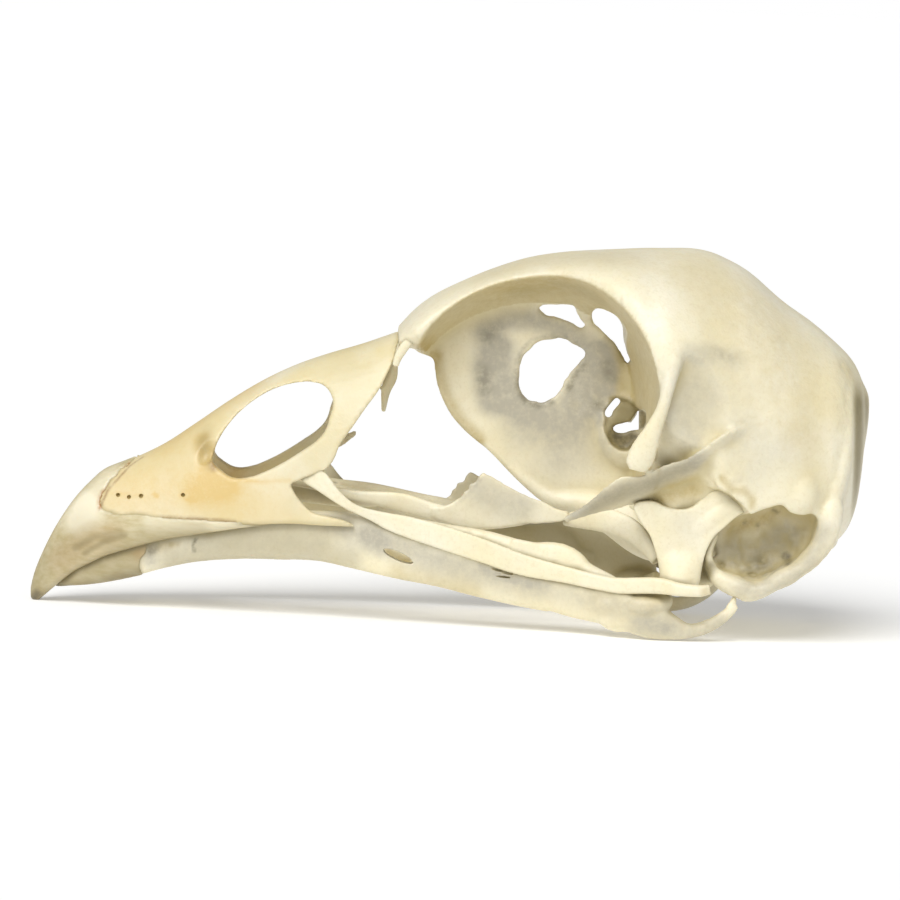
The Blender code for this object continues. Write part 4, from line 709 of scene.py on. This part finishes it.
cheek = {
    "jugal": [
        (31.5, 8.5, 17.4, 0.3, 0.6), (32.6, 8.7, 17.2, 0.3, 1.15), (34, 9.1, 16.5, 0.3, 1.45),
        (35.6, 9.5, 15.2, 0.3, 1.15), (37, 9.85, 13.9, 0.3, 0.8), (38.6, 9.95, 12.67, 0.3, 0.6),
        (40.1, 9.95, 11.95, 0.3, 0.55), (41.8, 9.8, 11.3, 0.3, 0.75), (43.7, 9.85, 10.6, 0.3, 1.1),
        (46, 10.15, 9.95, 0.3, 1.35), (50, 10.7, 8.75, 0.3, 1.5), (54.8, 11.5, 7.25, 0.3, 1.5),
        (59.8, 12.2, 5.55, 0.3, 1.35), (64.7, 13, 4.5, 0.4, 1.05), (69.3, 14.2, 3.55, 0.5, 0.95),
        (71.6, 14.9, 3.3, 0.5, 1), (75.9, 16.3, 3.45, 0.6, 1), (78.6, 16.95, 3.05, 0.7, 0.8),
        (81, 17.15, 2.9, 0.7, 0.7), (82.2, 17.15, 3.1, 0.5, 0.6)],
    "palateBar": {
        left: [
            (29, 4.6, 15.6, 0.45, 0.5), (34, 4.5, 14.6, 0.45, 0.5), (37, 4.7, 13.9, 0.45, 0.55),
            (40.1, 4.8, 13.25, 0.45, 0.7), (43, 4.9, 12.85, 0.45, 1), (45.5, 5, 12.4, 0.45, 1.2),
            (48.5, 5.2, 11.5, 0.45, 1.1), (51, 5.3, 10.85, 0.45, 1.15), (54.5, 5.5, 10.2, 0.42, 1.05),
            (59, 5.2, 10.35, 0.4, 0.85), (62.6, 4.6, 10.95, 0.45, 0.7), (65.6, 4.1, 10.8, 0.5, 0.5)],
        right: [
            (33, 4.4, 15, 0.45, 0.5), (36.3, 4.6, 14.2, 0.45, 0.48), (41.7, 4.8, 13.5, 0.45, 0.48),
            (47.5, 5, 12.2, 0.45, 0.5), (50.9, 5.2, 11.2, 0.45, 0.8), (54.5, 5.5, 10, 0.42, 0.95),
            (59, 5.2, 10.2, 0.4, 0.85), (62.6, 4.6, 10.8, 0.45, 0.7), (65.6, 4.1, 10.8, 0.5, 0.5)]},
    "crest": [
        (48.8, 11.9), (50.4, 12.1), (51.6, 12.7), (52.6, 13.3), (52.8, 13.9), (53.3, 14.1), (53.5, 14.8),
        (54.2, 15), (54.6, 15.7), (55.1, 16.2), (55.7, 15.9), (57.2, 15.1), (59.6, 13.7), (62.1, 12.7),
        (64, 11.8), (65.6, 11.1), (64.5, 10.2), (60.9, 9.9), (57.8, 9.5), (54.7, 9.5), (51.7, 9.8),
        (49, 10.8)],
    "shelf": [
        (28, 3, 14, 0.4, 1.3), (33, 3.2, 13.7, 0.4, 1.4), (38, 3.8, 12.8, 0.4, 1),
        (42, 4.6, 12.4, 0.4, 0.5)],
    "crestBack": {left: (0, 0), right: (-1.3, -0.95)},
    "pterygoid": [
        (65, 4.1, 10.2, 0.5, 0.7), (67, 5, 10.4, 0.55, 1.2), (69, 6.2, 10.5, 0.6, 1.5),
        (71, 7.4, 10.2, 0.6, 1.6), (73.3, 9, 9.3, 0.55, 1.5), (75, 10.3, 7.6, 0.6, 1.2),
        (76.2, 11.4, 6, 0.7, 0.9)],
    "fan": [
        (73.2, 13), (74.5, 13.5), (75.8, 13.4), (77, 12.8), (78.5, 12.5), (80, 12.7), (81.3, 13.7),
        (82.5, 14.6), (84, 15), (85.7, 14.9), (87, 14.5), (87.9, 13.5), (87.4, 12.7), (85.7, 11.6),
        (84.2, 10.3), (82.9, 9.1), (82.2, 7.9), (81.7, 6.5), (81.4, 5), (81.1, 3.6), (80.6, 2.7), (77, 2.7),
        (76.4, 4.3), (76.1, 6.1), (75.7, 7.6), (75.1, 9.3), (74.2, 10.6), (73.6, 11.6)],
    "fanReach": (12.9, 14.1), "crestReach": (5.2, 5.9),
    "foot": [
        (79, 13.5, 8.6, 0.4, 2.8), (78.9, 13.7, 6.8, 0.75, 2.7), (78.8, 14.1, 5.2, 1.15, 2.55),
        (78.7, 14.4, 3.8, 1.5, 2.5), (78.7, 14.5, 3, 1.4, 2.2)],
    "earProng": [
        (87.2, 13, 13.8, 0.9, 0.9), (85.2, 13.2, 13, 1, 1.2), (83, 13.5, 11.6, 0.9, 1.4),
        (80.4, 13.5, 9.6, 0.7, 1.4)],
    "eyeProng": [
        (77.6, 13.3, 11.2, 0.6, 1.6), (75.6, 12, 12.2, 0.6, 1.4), (74, 10.4, 12.6, 0.5, 1),
        (73, 9, 12.6, 0.4, 0.5)],
    "lacrimal": [
        (46.4, 7.6, 32.8, 0.4, 0.5), (45.4, 7.5, 31.6, 0.35, 0.6), (44.7, 7.4, 30.4, 0.35, 0.5),
        (44.4, 7.3, 29.4, 0.3, 0.4)],
    "tearSpur": [(44, 7.2, 27.2, 0.4, 0.8), (43.3, 7.1, 25.2, 0.35, 0.6), (43, 7, 22.7, 0.3, 0.25)],
    "tearBarb": [(43.4, 7.1, 26, 0.3, 0.4), (42.6, 7.1, 25.5, 0.25, 0.2)],
}


def makeCheek(word, side):
    alongX, alongZ = cheek["crestBack"][side]
    edge = ragged([(x + alongX, z + alongZ) for x, z in cheek["crest"]], 0.12, 0.3, 4.0)
    (crestIn, crestOut), (fanIn, fanOut) = cheek["crestReach"], cheek["fanReach"]
    crest = slab("crest", edge, side * crestIn, side * crestOut, smooth=False)
    tear = [barLoft("lacrimal", side, cheek["lacrimal"], up=(1, 0, 0))]
    if side == right:
        tear.append(barLoft("tearSpur", side, cheek["lacrimal"][-1:] + cheek["tearSpur"], up=(1, 0, 0)))
        tear.append(barLoft("tearBarb", side, cheek["tearBarb"]))
    finer = {  # voxel in mm, rounds of smoothing, bodies
        "jugal": (0.18, 2, [barLoft("jugal", side, cheek["jugal"], power=3.2)]),
        "palatine": (0.17, 2, [barLoft("palateBar", side, cheek["palateBar"][side], power=2.6), crest,
                               barLoft("shelf", side, cheek["shelf"])]),
        "pterygoid": (0.2, 2, [barLoft("pterygoid", side, cheek["pterygoid"])]),
        "quadrate": (0.2, 7, [slab("fan", cheek["fan"], side * fanIn, side * fanOut),
                              barLoft("foot", side, cheek["foot"], up=(1, 0, 0)),
                              barLoft("earProng", side, cheek["earProng"]),
                              barLoft("eyeProng", side, cheek["eyeProng"])]),
        "lacrimal": (0.15, 1, tear),
    }
    for name, (voxel, rounds, bodies) in finer.items():
        skull[name + word] = growBone(name + word, bodies, voxel, rounds)


makeCheek("Left", left)
makeCheek("Right", right)
earFloorBrush = [(735, 545), (750, 550), (770, 550), (750, 570), (765, 530), (795, 540)]
roughen(skull["cranium"], (
    (0.3, 1.3, 4.6, earFloorBrush), (0.16, 0.7, 4.6, earFloorBrush),
    (0.25, 0.8, 1, [(600, 287), (620, 303), (632, 322), (643, 339), (652, 359), (660, 373)]),
    (0.28, 0.9, 2.2, [(735, 526), (750, 521), (765, 518), (785, 512)]),
    (0.22, 1.6, 2.6, [(722, 588), (745, 596), (765, 592), (790, 580), (812, 566), (828, 545)]),
    (0.14, 1.2, 2.2, [(832, 530), (838, 490), (842, 440), (845, 400), (843, 360)]),
    (0.25, 1, 2.2, [(700, 490), (720, 482), (740, 488), (752, 500)]),
    (0.2, 1.4, 2.4, [(664, 490), (680, 494)]),
    (0.12, 1.6, 3, [(590, 365), (580, 395), (600, 412)]),
    (0.12, 2.6, 9, [(760, 330), (790, 400), (740, 440)])))
roughen(skull["mandible"], (
    (0.12, 1.4, 2.2, [(655, 605), (672, 615), (690, 622)]),
    (0.16, 1, 1.6, [(690, 628), (710, 622), (725, 612)])))
print("cheeks grown, relief added")

# Stains and painted shade, each a row: amount, radius in mm, pixels that the brush passes, and the sides if
# not both. The deep rows are painted shade
stainsAndShade = {
    "cranium": {
        # grey: the thin septum's own grey, with painted shade in the temple's hollow, on the down-facing
        # cheek blade and along the lower ear rim
        "grey": [
            (0.6, 3, [(488, 332), (492, 345), (486, 365), (488, 385), (492, 400)]),
            (0.5, 2.2, [(505, 320), (530, 320), (560, 328), (590, 345)]),
            (0.3, 7, [(690, 400), (705, 425), (715, 400)]),
            (0.4, 2.2, [(745, 590), (765, 583), (790, 575), (812, 555), (822, 530)]),
            (0.4, 2.6, [(505, 350), (505, 380), (512, 402), (540, 412)]),
            (0.8, 2.2, [(603, 352), (609, 372), (606, 388)]),
            (0.55, 3.2, [(590, 365), (580, 395), (590, 412)]),
            (0.3, 6, [(530, 425), (565, 430), (600, 440), (560, 455)]), (0.2, 6, [(520, 400), (560, 420)]),
            (0.9, 3, [(575, 514), (600, 500), (630, 490), (655, 482), (675, 472), (695, 464)]),
            (0.4, 4, [(690, 375), (700, 400), (690, 430)]),
            (0.4, 2.2, [(690, 352), (715, 354), (735, 359)]),
            (0.3, 4.5, [(745, 440), (770, 455), (750, 470)]),
            (0.75, 3.6, [(735, 555), (755, 560), (775, 550), (750, 575), (790, 530), (780, 565)]),
            (0.3, 2.4, [(820, 530), (812, 560), (790, 582), (760, 592), (735, 582)])],
        "tan": [
            (0.55, 1.4, [(437, 358), (441, 380), (448, 400), (460, 420), (480, 440)]),
            (0.5, 2, [(420, 345), (432, 352)]),
            (0.9, 1.9, [(732, 530), (742, 524), (755, 520), (765, 518)]),
            (0.8, 1.6, [(776, 511), (810, 520)]),
            (0.6, 0.8, [(722, 478), (732, 490), (744, 490), (753, 500), (752, 506)]),
            (0.35, 3, [(840, 345), (848, 370), (835, 330)]),
            (0.35, 9, [(740, 300), (785, 350), (800, 400), (700, 275)]),
            (0.3, 6, [(560, 262), (620, 258), (500, 270)]), (0.25, 4, [(800, 440), (810, 470)]),
            (0.9, 3, [(662, 495), (675, 488), (692, 486)]),
            (0.5, 2.6, [(618, 380), (624, 400), (620, 360)])],
        # deep: painted shade through the openings, in the room below the nerve opening, under the cheek
        # blade, in the ear, on the socket roof and in the gap by the quadrate's foot
        "deepShade": [
            (0.4, 1.6, [(661, 455), (668, 460)]), (0.35, 3.2, [(600, 508), (640, 488), (680, 470)]),
            (0.9, 2.4, [(622, 412), (628, 416), (620, 420)], nearOnly), (1, 2, [(616, 438), (628, 442)]),
            (0.8, 0.6, [(611, 398), (622, 399), (634, 404), (641, 412)]),
            (0.35, 3.4, [(735, 545), (760, 560), (780, 540)]),
            (0.25, 3, [(560, 285), (600, 300), (520, 292)]), (0.9, 1.6, [(707, 575), (708, 568)])],
        # dark: the first two rows paint shade in the room below the nerve opening and in the gap by the
        # quadrate's foot; the others darken the openings' edges and small pits
        "dark": [
            (0.55, 1.6, [(614, 436), (624, 444), (634, 438)]), (0.6, 1.2, [(707, 575), (708, 568)]),
            (0.45, 0.6, [(516, 372), (518, 388), (525, 401), (538, 406), (552, 402)]),
            (0.3, 0.55, [(518, 362), (522, 350), (532, 340), (548, 336), (565, 337), (580, 345)]),
            (0.4, 0.8, [(568, 388), (574, 376), (584, 364)]), (0.22, 1.4, [(486, 338), (491, 330)]),
            (0.2, 1.6, [(483, 372), (484, 388)]), (0.22, 1.6, [(608, 366), (611, 376)]),
            (0.3, 1.2, [(598, 404), (606, 406)]), (0.8, 0.9, [(786, 556), (789, 564)]),
            (0.5, 0.4, [(744, 522), (746, 523)]), (0.5, 0.4, [(757, 524), (758, 526)]),
            (0.5, 0.5, [(773, 510), (777, 512)]), (0.3, 2, [(760, 562), (772, 574)]),
            (0.15, 1.2, [(716, 353), (728, 357)])]},
    "billBone": {
        # painted shade in the pit before the nostril
        "deepShade": [
            (0.45, 1.6, [(203, 440), (207, 452), (211, 464)]), (0.25, 2, [(206, 432), (203, 445)])],
        "tan": [
            (0.35, 7, [(120, 480), (150, 475), (180, 465), (205, 470), (225, 480)]),
            (0.8, 2, [(202, 440), (207, 452), (210, 462)]),
            (0.6, 3.2, [(205, 480), (225, 485), (200, 490)]),
            (0.3, 6, [(130, 505), (200, 508), (270, 512)]), (0.3, 5, [(170, 440), (210, 415), (250, 388)]),
            (0.6, 0.7, [(119, 495), (130, 497), (142, 496)]), (0.7, 0.9, [(184, 495), (192, 498)]),
            (0.5, 0.5, [(154, 494), (157, 496)]), (0.4, 0.45, [(240, 480), (262, 482), (290, 480)])],
        "grey": [
            (0.3, 6, [(350, 380), (345, 420), (310, 460)]), (0.35, 3, [(320, 475), (300, 490)])],
        "dark": [
            (0.5, 0.8, [(212, 462), (214, 468)]),
            (0.55, 0.3, [(101, 506), (104, 499), (108, 490), (119, 478), (130, 466), (143, 457)]),
            (0.5, 0.35, [(162, 518), (200, 519), (235, 522), (262, 525)])]},
    "upperHorn": {
        "pale": [
            (0.9, 2.6, [(84, 505), (92, 515), (78, 522)]), (0.6, 3, [(110, 478), (95, 492), (70, 515)]),
            (0.5, 1.6, [(150, 524), (200, 526), (240, 526)])],
        "tan": [
            (0.9, 0.4, [(100, 508), (103, 497), (108, 487), (119, 475), (130, 463), (142, 455)]),
            (0.9, 0.7, [(101, 502), (104, 493)]), (0.25, 3, [(60, 560), (80, 545), (110, 535)])],
        # painted shade under the sheath's tip and along its lower side
        "deepShade": [
            (0.35, 5, [(34, 600), (44, 575), (60, 555), (80, 540)]),
            (0.4, 0.7, [(75, 548), (95, 537), (120, 531)]),
            (0.45, 0.6, [(85, 553), (105, 541), (125, 535)]),
            (0.35, 2, [(110, 545), (150, 536), (200, 531)])],
        "dark": [(0.7, 1, [(34, 598), (37, 594)])]},
    "lowerHorn": {
        # painted shade on the lower sheath
        "deepShade": [(0.5, 5, [(70, 580), (100, 572), (130, 565)])],
        "dark": [(0.4, 1.6, [(62, 586), (100, 584), (140, 574)])],
        "tan": [(0.4, 2, [(140, 552), (146, 560)])]},
    "mandible": {
        "tan": [
            (0.6, 1.2, [(152, 550), (160, 546), (168, 545)]), (0.6, 0.6, [(172, 545), (178, 544)]),
            (0.7, 0.9, [(388, 552), (398, 558), (408, 562)]),
            (0.4, 2.5, [(400, 575), (430, 580), (470, 590)]),
            (0.4, 2, [(650, 600), (665, 590), (672, 608)]), (0.3, 4, [(600, 600), (630, 612)])],
        # grey: the jaw's own grey patches, with painted shade below the cheek bar, under the upper bill's
        # edge and along the lower rear edge
        "grey": [
            (0.6, 1.8, [(490, 565), (510, 572), (530, 577)]),
            (0.75, 3.4, [(380, 535), (400, 545), (440, 560), (480, 570), (530, 582)]),
            (0.7, 1.8, [(145, 535), (147, 548), (149, 560)]),
            (0.5, 2.4, [(340, 522), (360, 530), (378, 545)]),
            (0.45, 3.4, [(170, 552), (230, 545), (300, 543), (350, 545)]),
            (0.5, 3, [(550, 588), (600, 600), (640, 612), (665, 618)]),
            (0.6, 2.5, [(640, 628), (670, 632), (700, 636), (720, 625)])],
        # deep: painted shade on the far jaw's inner wall between the bones, and under the upper bill's edge
        "deepShade": [
            (0.75, 5, [(500, 528), (540, 535), (580, 545), (620, 560), (600, 555), (640, 568)], nearOnly),
            (0.4, 2.4, [(170, 562), (230, 556), (300, 556), (350, 562)]),
            (0.3, 2, [(200, 540), (260, 538), (320, 542)])],
        "dark": [
            (0.6, 0.3, [(196, 539), (193, 545), (194, 551)], nearOnly),
            (0.4, 0.9, [(150, 552), (156, 547)], nearOnly), (0.3, 0.6, [(497, 570), (507, 572)], nearOnly)]},
    # painted shade on the far cheek bar
    "jugalRight": {"deepShade": [(0.8, 3, [(338, 472), (345, 481)], nearOnly)]},
    "jugalLeft": {"tan": [(0.5, 1.2, [(690, 597), (706, 592)], nearOnly)]},
    "quadrateLeft": {"grey": [(0.25, 3, [(685, 525)], nearOnly)]},
    "palatineLeft": {"grey": [(0.6, 3.4, [(480, 490), (500, 500), (520, 505)], nearOnly)],
                     "dark": [(0.2, 0.7, [(478, 480), (470, 490), (458, 502)], nearOnly)]},
    # painted shade on the far palate bar
    "palatineRight": {"deepShade": [(0.6, 4, [(460, 492), (478, 482)], nearOnly)]},
}


# Painted by place: where each tint starts and ends in mm, and how much it adds to the masks. The socket,
# spine and hollow tints are painted shade, the neck tint stain and painted shade
socketShadeTint = {"rim": 1.045, "inner": 0.93, "soft": 0.03, "out": (0.9, 17.2), "floor": 15.0, "front": 45.2,
              "adds": {"tan": 0.6}}
neckStainAndShade = {"from": 99.8, "backing": 0.06, "below": 12, "soft": 1.3, "flat": 0.12, "steep": 3.0,
            "least": 0.15, "top": 28.0, "fade": 3, "adds": {"deepShade": 1.4, "dark": 0.2, "tan": 0.7}}
spineHoleShadeTint = {"middle": 12.4, "mouth": 101.6, "fade": 2.5, "end": 98.5, "front": 92, "wide": 5.2,
             "adds": {"deepShade": 0.8, "dark": 0.6}}
# painted shade in the hollows: rounds of smoothing, and the depth in mm that gives the full shade
creaseShadeSpread = {"rounds": 24, "full": 0.35}


def socketShade(piece):  # painted shade, in tan, on the roof and rear wall of the eye socket, up to its uneven rim
    x, y, z = cornersOf(piece).T
    middleX, middleZ, floorZ = cranium["socketMiddle"]
    bendFront, bendRear = cranium["socketBend"]
    out, front, rear, top = easedRows(cranium["socket"], 4).T
    rearAt, frontAt, topAt = (np.interp(abs(y), out, row) for row in (rear, front, top))
    reach = np.where(x > middleX, rearAt - middleX, middleX - frontAt)
    power = np.where(x > middleX, bendRear, bendFront)
    form = ((abs(x - middleX) / reach) ** power
            + (np.clip(z - middleZ, 0, None) / (topAt - middleZ)) ** power)
    wall = (np.clip((socketShadeTint["rim"] - form) / socketShadeTint["soft"], 0, 1)
            * np.clip((form - socketShadeTint["inner"]) / socketShadeTint["soft"], 0, 1))
    low, high = socketShadeTint["out"]
    return (wall * (abs(y) > low) * (abs(y) < high) * (z > socketShadeTint["floor"])
            * (x > socketShadeTint["front"]))


def occiputStainAndShade(piece):  # stain and painted shade on the slopes behind the neck crest, where the neck's muscles stuck; more where the slopes turn sideways
    x, y, z = cornersOf(piece).T
    start = neckStainAndShade["from"] + neckStainAndShade["backing"] * np.clip(neckStainAndShade["below"] - z, 0, None)
    behind = np.clip((x - start) * neckStainAndShade["soft"], 0, 1)
    turned = abs(normalsOf(piece)[:, 1]) - neckStainAndShade["flat"]
    slope = np.clip(turned * neckStainAndShade["steep"], neckStainAndShade["least"], 1)
    return behind * slope * np.clip((neckStainAndShade["top"] - z) / neckStainAndShade["fade"], 0, 1)


def spineHoleShade(piece):  # painted shade inside the hole for the spinal cord
    normals = normalsOf(piece)
    x, y, z = cornersOf(piece).T
    height = z - spineHoleShadeTint["middle"]
    inward = -(normals[:, 1] * y + normals[:, 2] * height) > 0
    ending = (normals[:, 0] > 0.7) & (x < spineHoleShadeTint["end"])
    deepIn = np.clip((spineHoleShadeTint["mouth"] - x) / spineHoleShadeTint["fade"], 0, 1)
    close = np.clip((spineHoleShadeTint["wide"] - np.hypot(y, height)) * 2, 0, 1)
    return deepIn * (inward | ending) * (x > spineHoleShadeTint["front"]) * close


def easeShade(piece):  # less painted shade on the thin septum, which lets light through, and in the cheek pit
    x, y, z = cornersOf(piece).T
    reach, rear, share = shade["thinBone"]
    keep = np.where((abs(y) < reach) & (x < rear), share, 1.0)
    (out, front, rear, low, high), share = shade["cheekPit"]
    return keep * np.where((abs(y) > out) & (x > front) & (x < rear) & (z > low) & (z < high), share, 1.0)


def stainAndShadeAll():
    for word, value in rayShade(skull).items():
        piece, brushed, painted = skull[word], stainsAndShade.get(word, {}), []
        masks = {name: np.zeros(len(value)) for name in ("tan", "grey", "dark", "pale")}
        # painted shade from the rays, darkest where the skull shuts a spot in
        masks["deepShade"] = np.clip((value - shade["from"]) / shade["range"], 0, 1)
        if word == "cranium":
            # less painted shade on the septum and in the cheek pit
            masks["deepShade"] *= easeShade(piece)
            painted = [(neckStainAndShade, occiputStainAndShade(piece)), (spineHoleShadeTint, spineHoleShade(piece)),
                       (socketShadeTint, socketShade(piece))]
        for name, strokes in brushed.items():
            masks[name] += strokesOn(piece, strokes)
        for tint, where in painted:
            for name, amount in tint["adds"].items():
                masks[name] += amount * where
        # painted shade in creases and hollows, darker the deeper a spot lies in a hollow
        masks["creaseShade"] = np.clip(hollowness(piece, creaseShadeSpread["rounds"]) / creaseShadeSpread["full"], 0, 1)
        for name, values in masks.items():
            setMask(piece, name, values)


stainAndShadeAll()
print("stains brushed on")

# Materials

def tone(code):  # an sRGB hex colour, made linear
    parts = [int(code[i:i + 2], 16) / 255 for i in (0, 2, 4)]
    return (*[p / 12.92 if p <= 0.04045 else ((p + 0.055) / 1.055) ** 2.4 for p in parts], 1)


def addNode(tree, kind, settings=(), links=()):
    node = tree.nodes.new("ShaderNode" + kind)
    for name, value in dict(settings).items():
        if isinstance(name, str) and hasattr(node, name):
            setattr(node, name, value)
        else:
            node.inputs[name].default_value = value
    for name, socket in dict(links).items():
        tree.links.new(socket, node.inputs[name])
    return node


def noiseAt(tree, spot, size, detail, rough=0.5):  # size of its features in mm
    return addNode(tree, "TexNoise", {"Scale": 1 / (size * mm), "Detail": detail, "Roughness": rough},
                   {"Vector": spot}).outputs[0]


def blend(tree, share, under, over):  # two colours, each a socket or written in hex
    node = addNode(tree, "Mix", {"data_type": "RGBA"}, {0: share})
    for slot, colour in ((6, under), (7, over)):
        if isinstance(colour, str):
            node.inputs[slot].default_value = tone(colour)
        else:
            tree.links.new(colour, node.inputs[slot])
    return node.outputs[2]


def bareMaterial(name):  # its tree, its shader and the place on the object that its patterns read
    material = bpy.data.materials.new(name)
    material.use_nodes = True
    tree = material.node_tree
    return material, tree, tree.nodes["Principled BSDF"], addNode(tree, "TexCoord").outputs["Object"]


def finishShader(tree, shader, base, height, strength, distance, rough, glow):
    tree.links.new(base, shader.inputs["Base Color"])
    bump = addNode(tree, "Bump", {"Strength": strength, "Distance": distance * mm}, {"Height": height})
    tree.links.new(bump.outputs[0], shader.inputs["Normal"])
    for name, value in (("Roughness", rough), ("IOR", 1.55), ("Subsurface Weight", glow),
                        ("Subsurface Radius", (1.0, 0.7, 0.4)), ("Subsurface Scale", 0.8 * mm)):
        shader.inputs[name].default_value = value


# Dry cleaned bone: boiled, bleached and handled; waxy ivory, yellower where fat stayed, fine pores
def dryBone(name, looks):
    material, tree, shader, spot = bareMaterial(name)

    def patches(size, detail, rough, low, high, least=0.0):
        return addNode(tree, "MapRange", {"From Min": low, "From Max": high, "To Min": least},
                       {"Value": noiseAt(tree, spot, size, detail, rough)}).outputs[0]

    def times(amount, value, clamp=False):
        return addNode(tree, "Math", {"operation": "MULTIPLY", "use_clamp": clamp, 1: amount},
                       {0: value}).outputs[0]

    def mask(word, gain, share=None):
        value = addNode(tree, "Attribute", {"attribute_name": word}).outputs["Fac"]
        if share is not None:
            value = addNode(tree, "Math", {"operation": "MULTIPLY"}, {0: value, 1: share}).outputs[0]
        return times(gain, value, clamp=True)

    cloudy = patches(1.1, 5, 0.75, 0.3, 0.7, 0.6)
    base = blend(tree, patches(9.0, 3, 0.5, 0.35, 0.65), looks["light"], looks["warm"])
    # the hollow and deep masks paint shade into the colour; tan, grey and dark carry the bone's own tints
    # and, in places, painted shade
    for word, share in (("mottle", times(0.35, patches(1.6, 5, 0.6, 0.45, 0.75))),
                        ("tan", times(0.2, patches(0.5, 4, 0.7, 0.5, 0.72))),
                        ("tan", mask("tan", 1.25, cloudy)), ("grey", mask("grey", 1.2, cloudy)),
                        ("creaseShade", mask("creaseShade", 0.8)), ("deepShade", mask("deepShade", 0.85)),
                        ("dark", mask("dark", 1.2, patches(1.1, 4, 0.7, 0.2, 0.6)))):
        base = blend(tree, share, base, looks[word])
    # pores are 0.1 mm in the real bone, drawn at 0.3 mm so that they show
    pores, swell = noiseAt(tree, spot, 0.3, 3, 0.6), noiseAt(tree, spot, 2.4, 3)
    relief = addNode(tree, "Math", {"operation": "MULTIPLY_ADD", 1: 0.22}, {0: pores, 2: swell})
    finishShader(tree, shader, base, relief.outputs[0], 0.35, 0.25, looks["rough"], 0.12)
    return material


# in each look, hollow and deep are the colours of painted shade
finishes = {
    "bone": dryBone("dryBone", {
        "light": "EFE9D2", "warm": "EBE1BE", "mottle": "E0D6B4", "tan": "BFAC74", "grey": "B3AD9B",
        "creaseShade": "CFC192", "deepShade": "8F8256", "dark": "564E34", "rough": 0.48}),
    "bill_bone": dryBone("yellowedBone", {
        "light": "E6DDBF", "warm": "E0D2A4", "mottle": "D9C994", "tan": "D8BC7C", "grey": "CFC9B0",
        "creaseShade": "D6C085", "deepShade": "9A8A58", "dark": "7E5530", "rough": 0.45}),
}


# Horn sheath: layered keratin, dried, half clear and grey-tan, with fine lines along its growth
def driedHorn(name, looks):
    material, tree, shader, spot = bareMaterial(name)
    lay = addNode(tree, "Mapping", {"Rotation": (0, math.radians(looks["lay"]), 0), "Scale": (0.18, 1, 1)},
                  {"Vector": spot}).outputs[0]
    lines = noiseAt(tree, lay, 0.7, 4, 0.6)
    share = addNode(tree, "MapRange", {"From Min": 0.35, "From Max": 0.7}, {"Value": lines})
    base = blend(tree, share.outputs[0], looks["light"], looks["streak"])
    spread = addNode(tree, "MapRange", {"From Min": 0.2, "From Max": 0.6, "To Min": 0.8, "To Max": 1.05},
                     {"Value": noiseAt(tree, spot, 3.5, 3)})
    # the deep mask paints shade on the sheath
    for word in ("pale", "tan", "deepShade", "dark"):
        seen = addNode(tree, "Attribute", {"attribute_name": word}).outputs["Fac"]
        much = addNode(tree, "Math", {"operation": "MULTIPLY", "use_clamp": True},
                       {0: seen, 1: spread.outputs[0]})
        base = blend(tree, much.outputs[0], base, looks[word])
    finishShader(tree, shader, base, lines, 0.3, 0.08, 0.4, 0.2)
    return material


finishes["horn"] = driedHorn("driedHorn", {
    "light": "D3C8A4", "streak": "BDAF83", "pale": "EDE5CA", "tan": "AD7A40", "dark": "4E4432",
    "deepShade": "8E8058", "lay": 35})

replacedBy = {
    "cranium": ("bone", "forehead", "braincase", "interorbital_septum"),
    "billBone": ("bill_bone", "premaxilla", "bill_bridge", "nasal_left", "nasal_right",
                 "maxilla_left", "maxilla_right"),
    "upperHorn": ("horn", "upper_horn"), "lowerHorn": ("horn", "lower_horn"),
    "mandible": ("bone", "mandible"),
}
for word in ("Left", "Right"):
    for name in ("jugal", "palatine", "pterygoid", "quadrate", "lacrimal"):
        replacedBy[name + word] = ("bone", f"{name}_{word.lower()}")

for name, (slot, *nodes) in replacedBy.items():
    piece = skull[name]
    piece.data.transform(toFloor @ Matrix.Scale(mm, 4))
    piece.data.materials.clear()
    piece.data.materials.append(finishes[slot])
    piece.data.shade_smooth()
    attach(piece, "root")
    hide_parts(*nodes)
print("pieces placed")

# Floor, light and camera

studio = {"floor": "F4F4F3", "floorReach": 60.0, "floorGlow": 0.2, "sky": 0.33,
          "key": {"from": (-0.3, -0.8, 0.95), "softness": 40.0, "strength": 2.55}}

bm = bmesh.new()
bmesh.ops.create_circle(bm, cap_ends=True, segments=96, radius=studio["floorReach"])
floor = keepMesh("floor", bm)
floor.data.materials.append(bpy.data.materials.new("mattPaper"))
floor.data.materials[0].use_nodes = True
paper = floor.data.materials[0].node_tree.nodes["Principled BSDF"]
for name, value in (("Base Color", tone(studio["floor"])), ("Roughness", 0.9),
                    ("Emission Color", (1, 1, 1, 1)), ("Emission Strength", studio["floorGlow"])):
    paper.inputs[name].default_value = value

# The sky lights the skull softly from all round, and shows as white as the floor
world = bpy.data.worlds.new("studio")
bpy.context.scene.world = world
world.use_nodes = True
sky = world.node_tree.nodes["Background"]
sky.inputs[0].default_value = (1, 1, 1, 1)
seenSky = addNode(world.node_tree, "MapRange", {"To Min": studio["sky"], "To Max": 1.0},
                  {"Value": addNode(world.node_tree, "LightPath").outputs["Is Camera Ray"]})
world.node_tree.links.new(seenSky.outputs[0], sky.inputs[1])

lamp = bpy.data.lights.new("key", "SUN")
lamp.energy = studio["key"]["strength"]
lamp.angle = math.radians(studio["key"]["softness"])
key = place("key", lamp)
key.location = studio["key"]["from"]
key.rotation_euler = (-Vector(studio["key"]["from"])).to_track_quat("-Z", "Y").to_euler()

camera = place("camera", bpy.data.cameras.new("camera"))
camera.data.lens = photo["lens"]
camera.data.sensor_width = photo["sensor"]
camera.data.clip_end = 100
stance = Matrix((across, upward, backward)).transposed().to_4x4()
camera.matrix_world = toFloor @ Matrix.Translation(eye * mm) @ stance
bpy.context.scene.camera = camera
bpy.context.scene.view_settings.view_transform = "Standard"

print("scene ready")
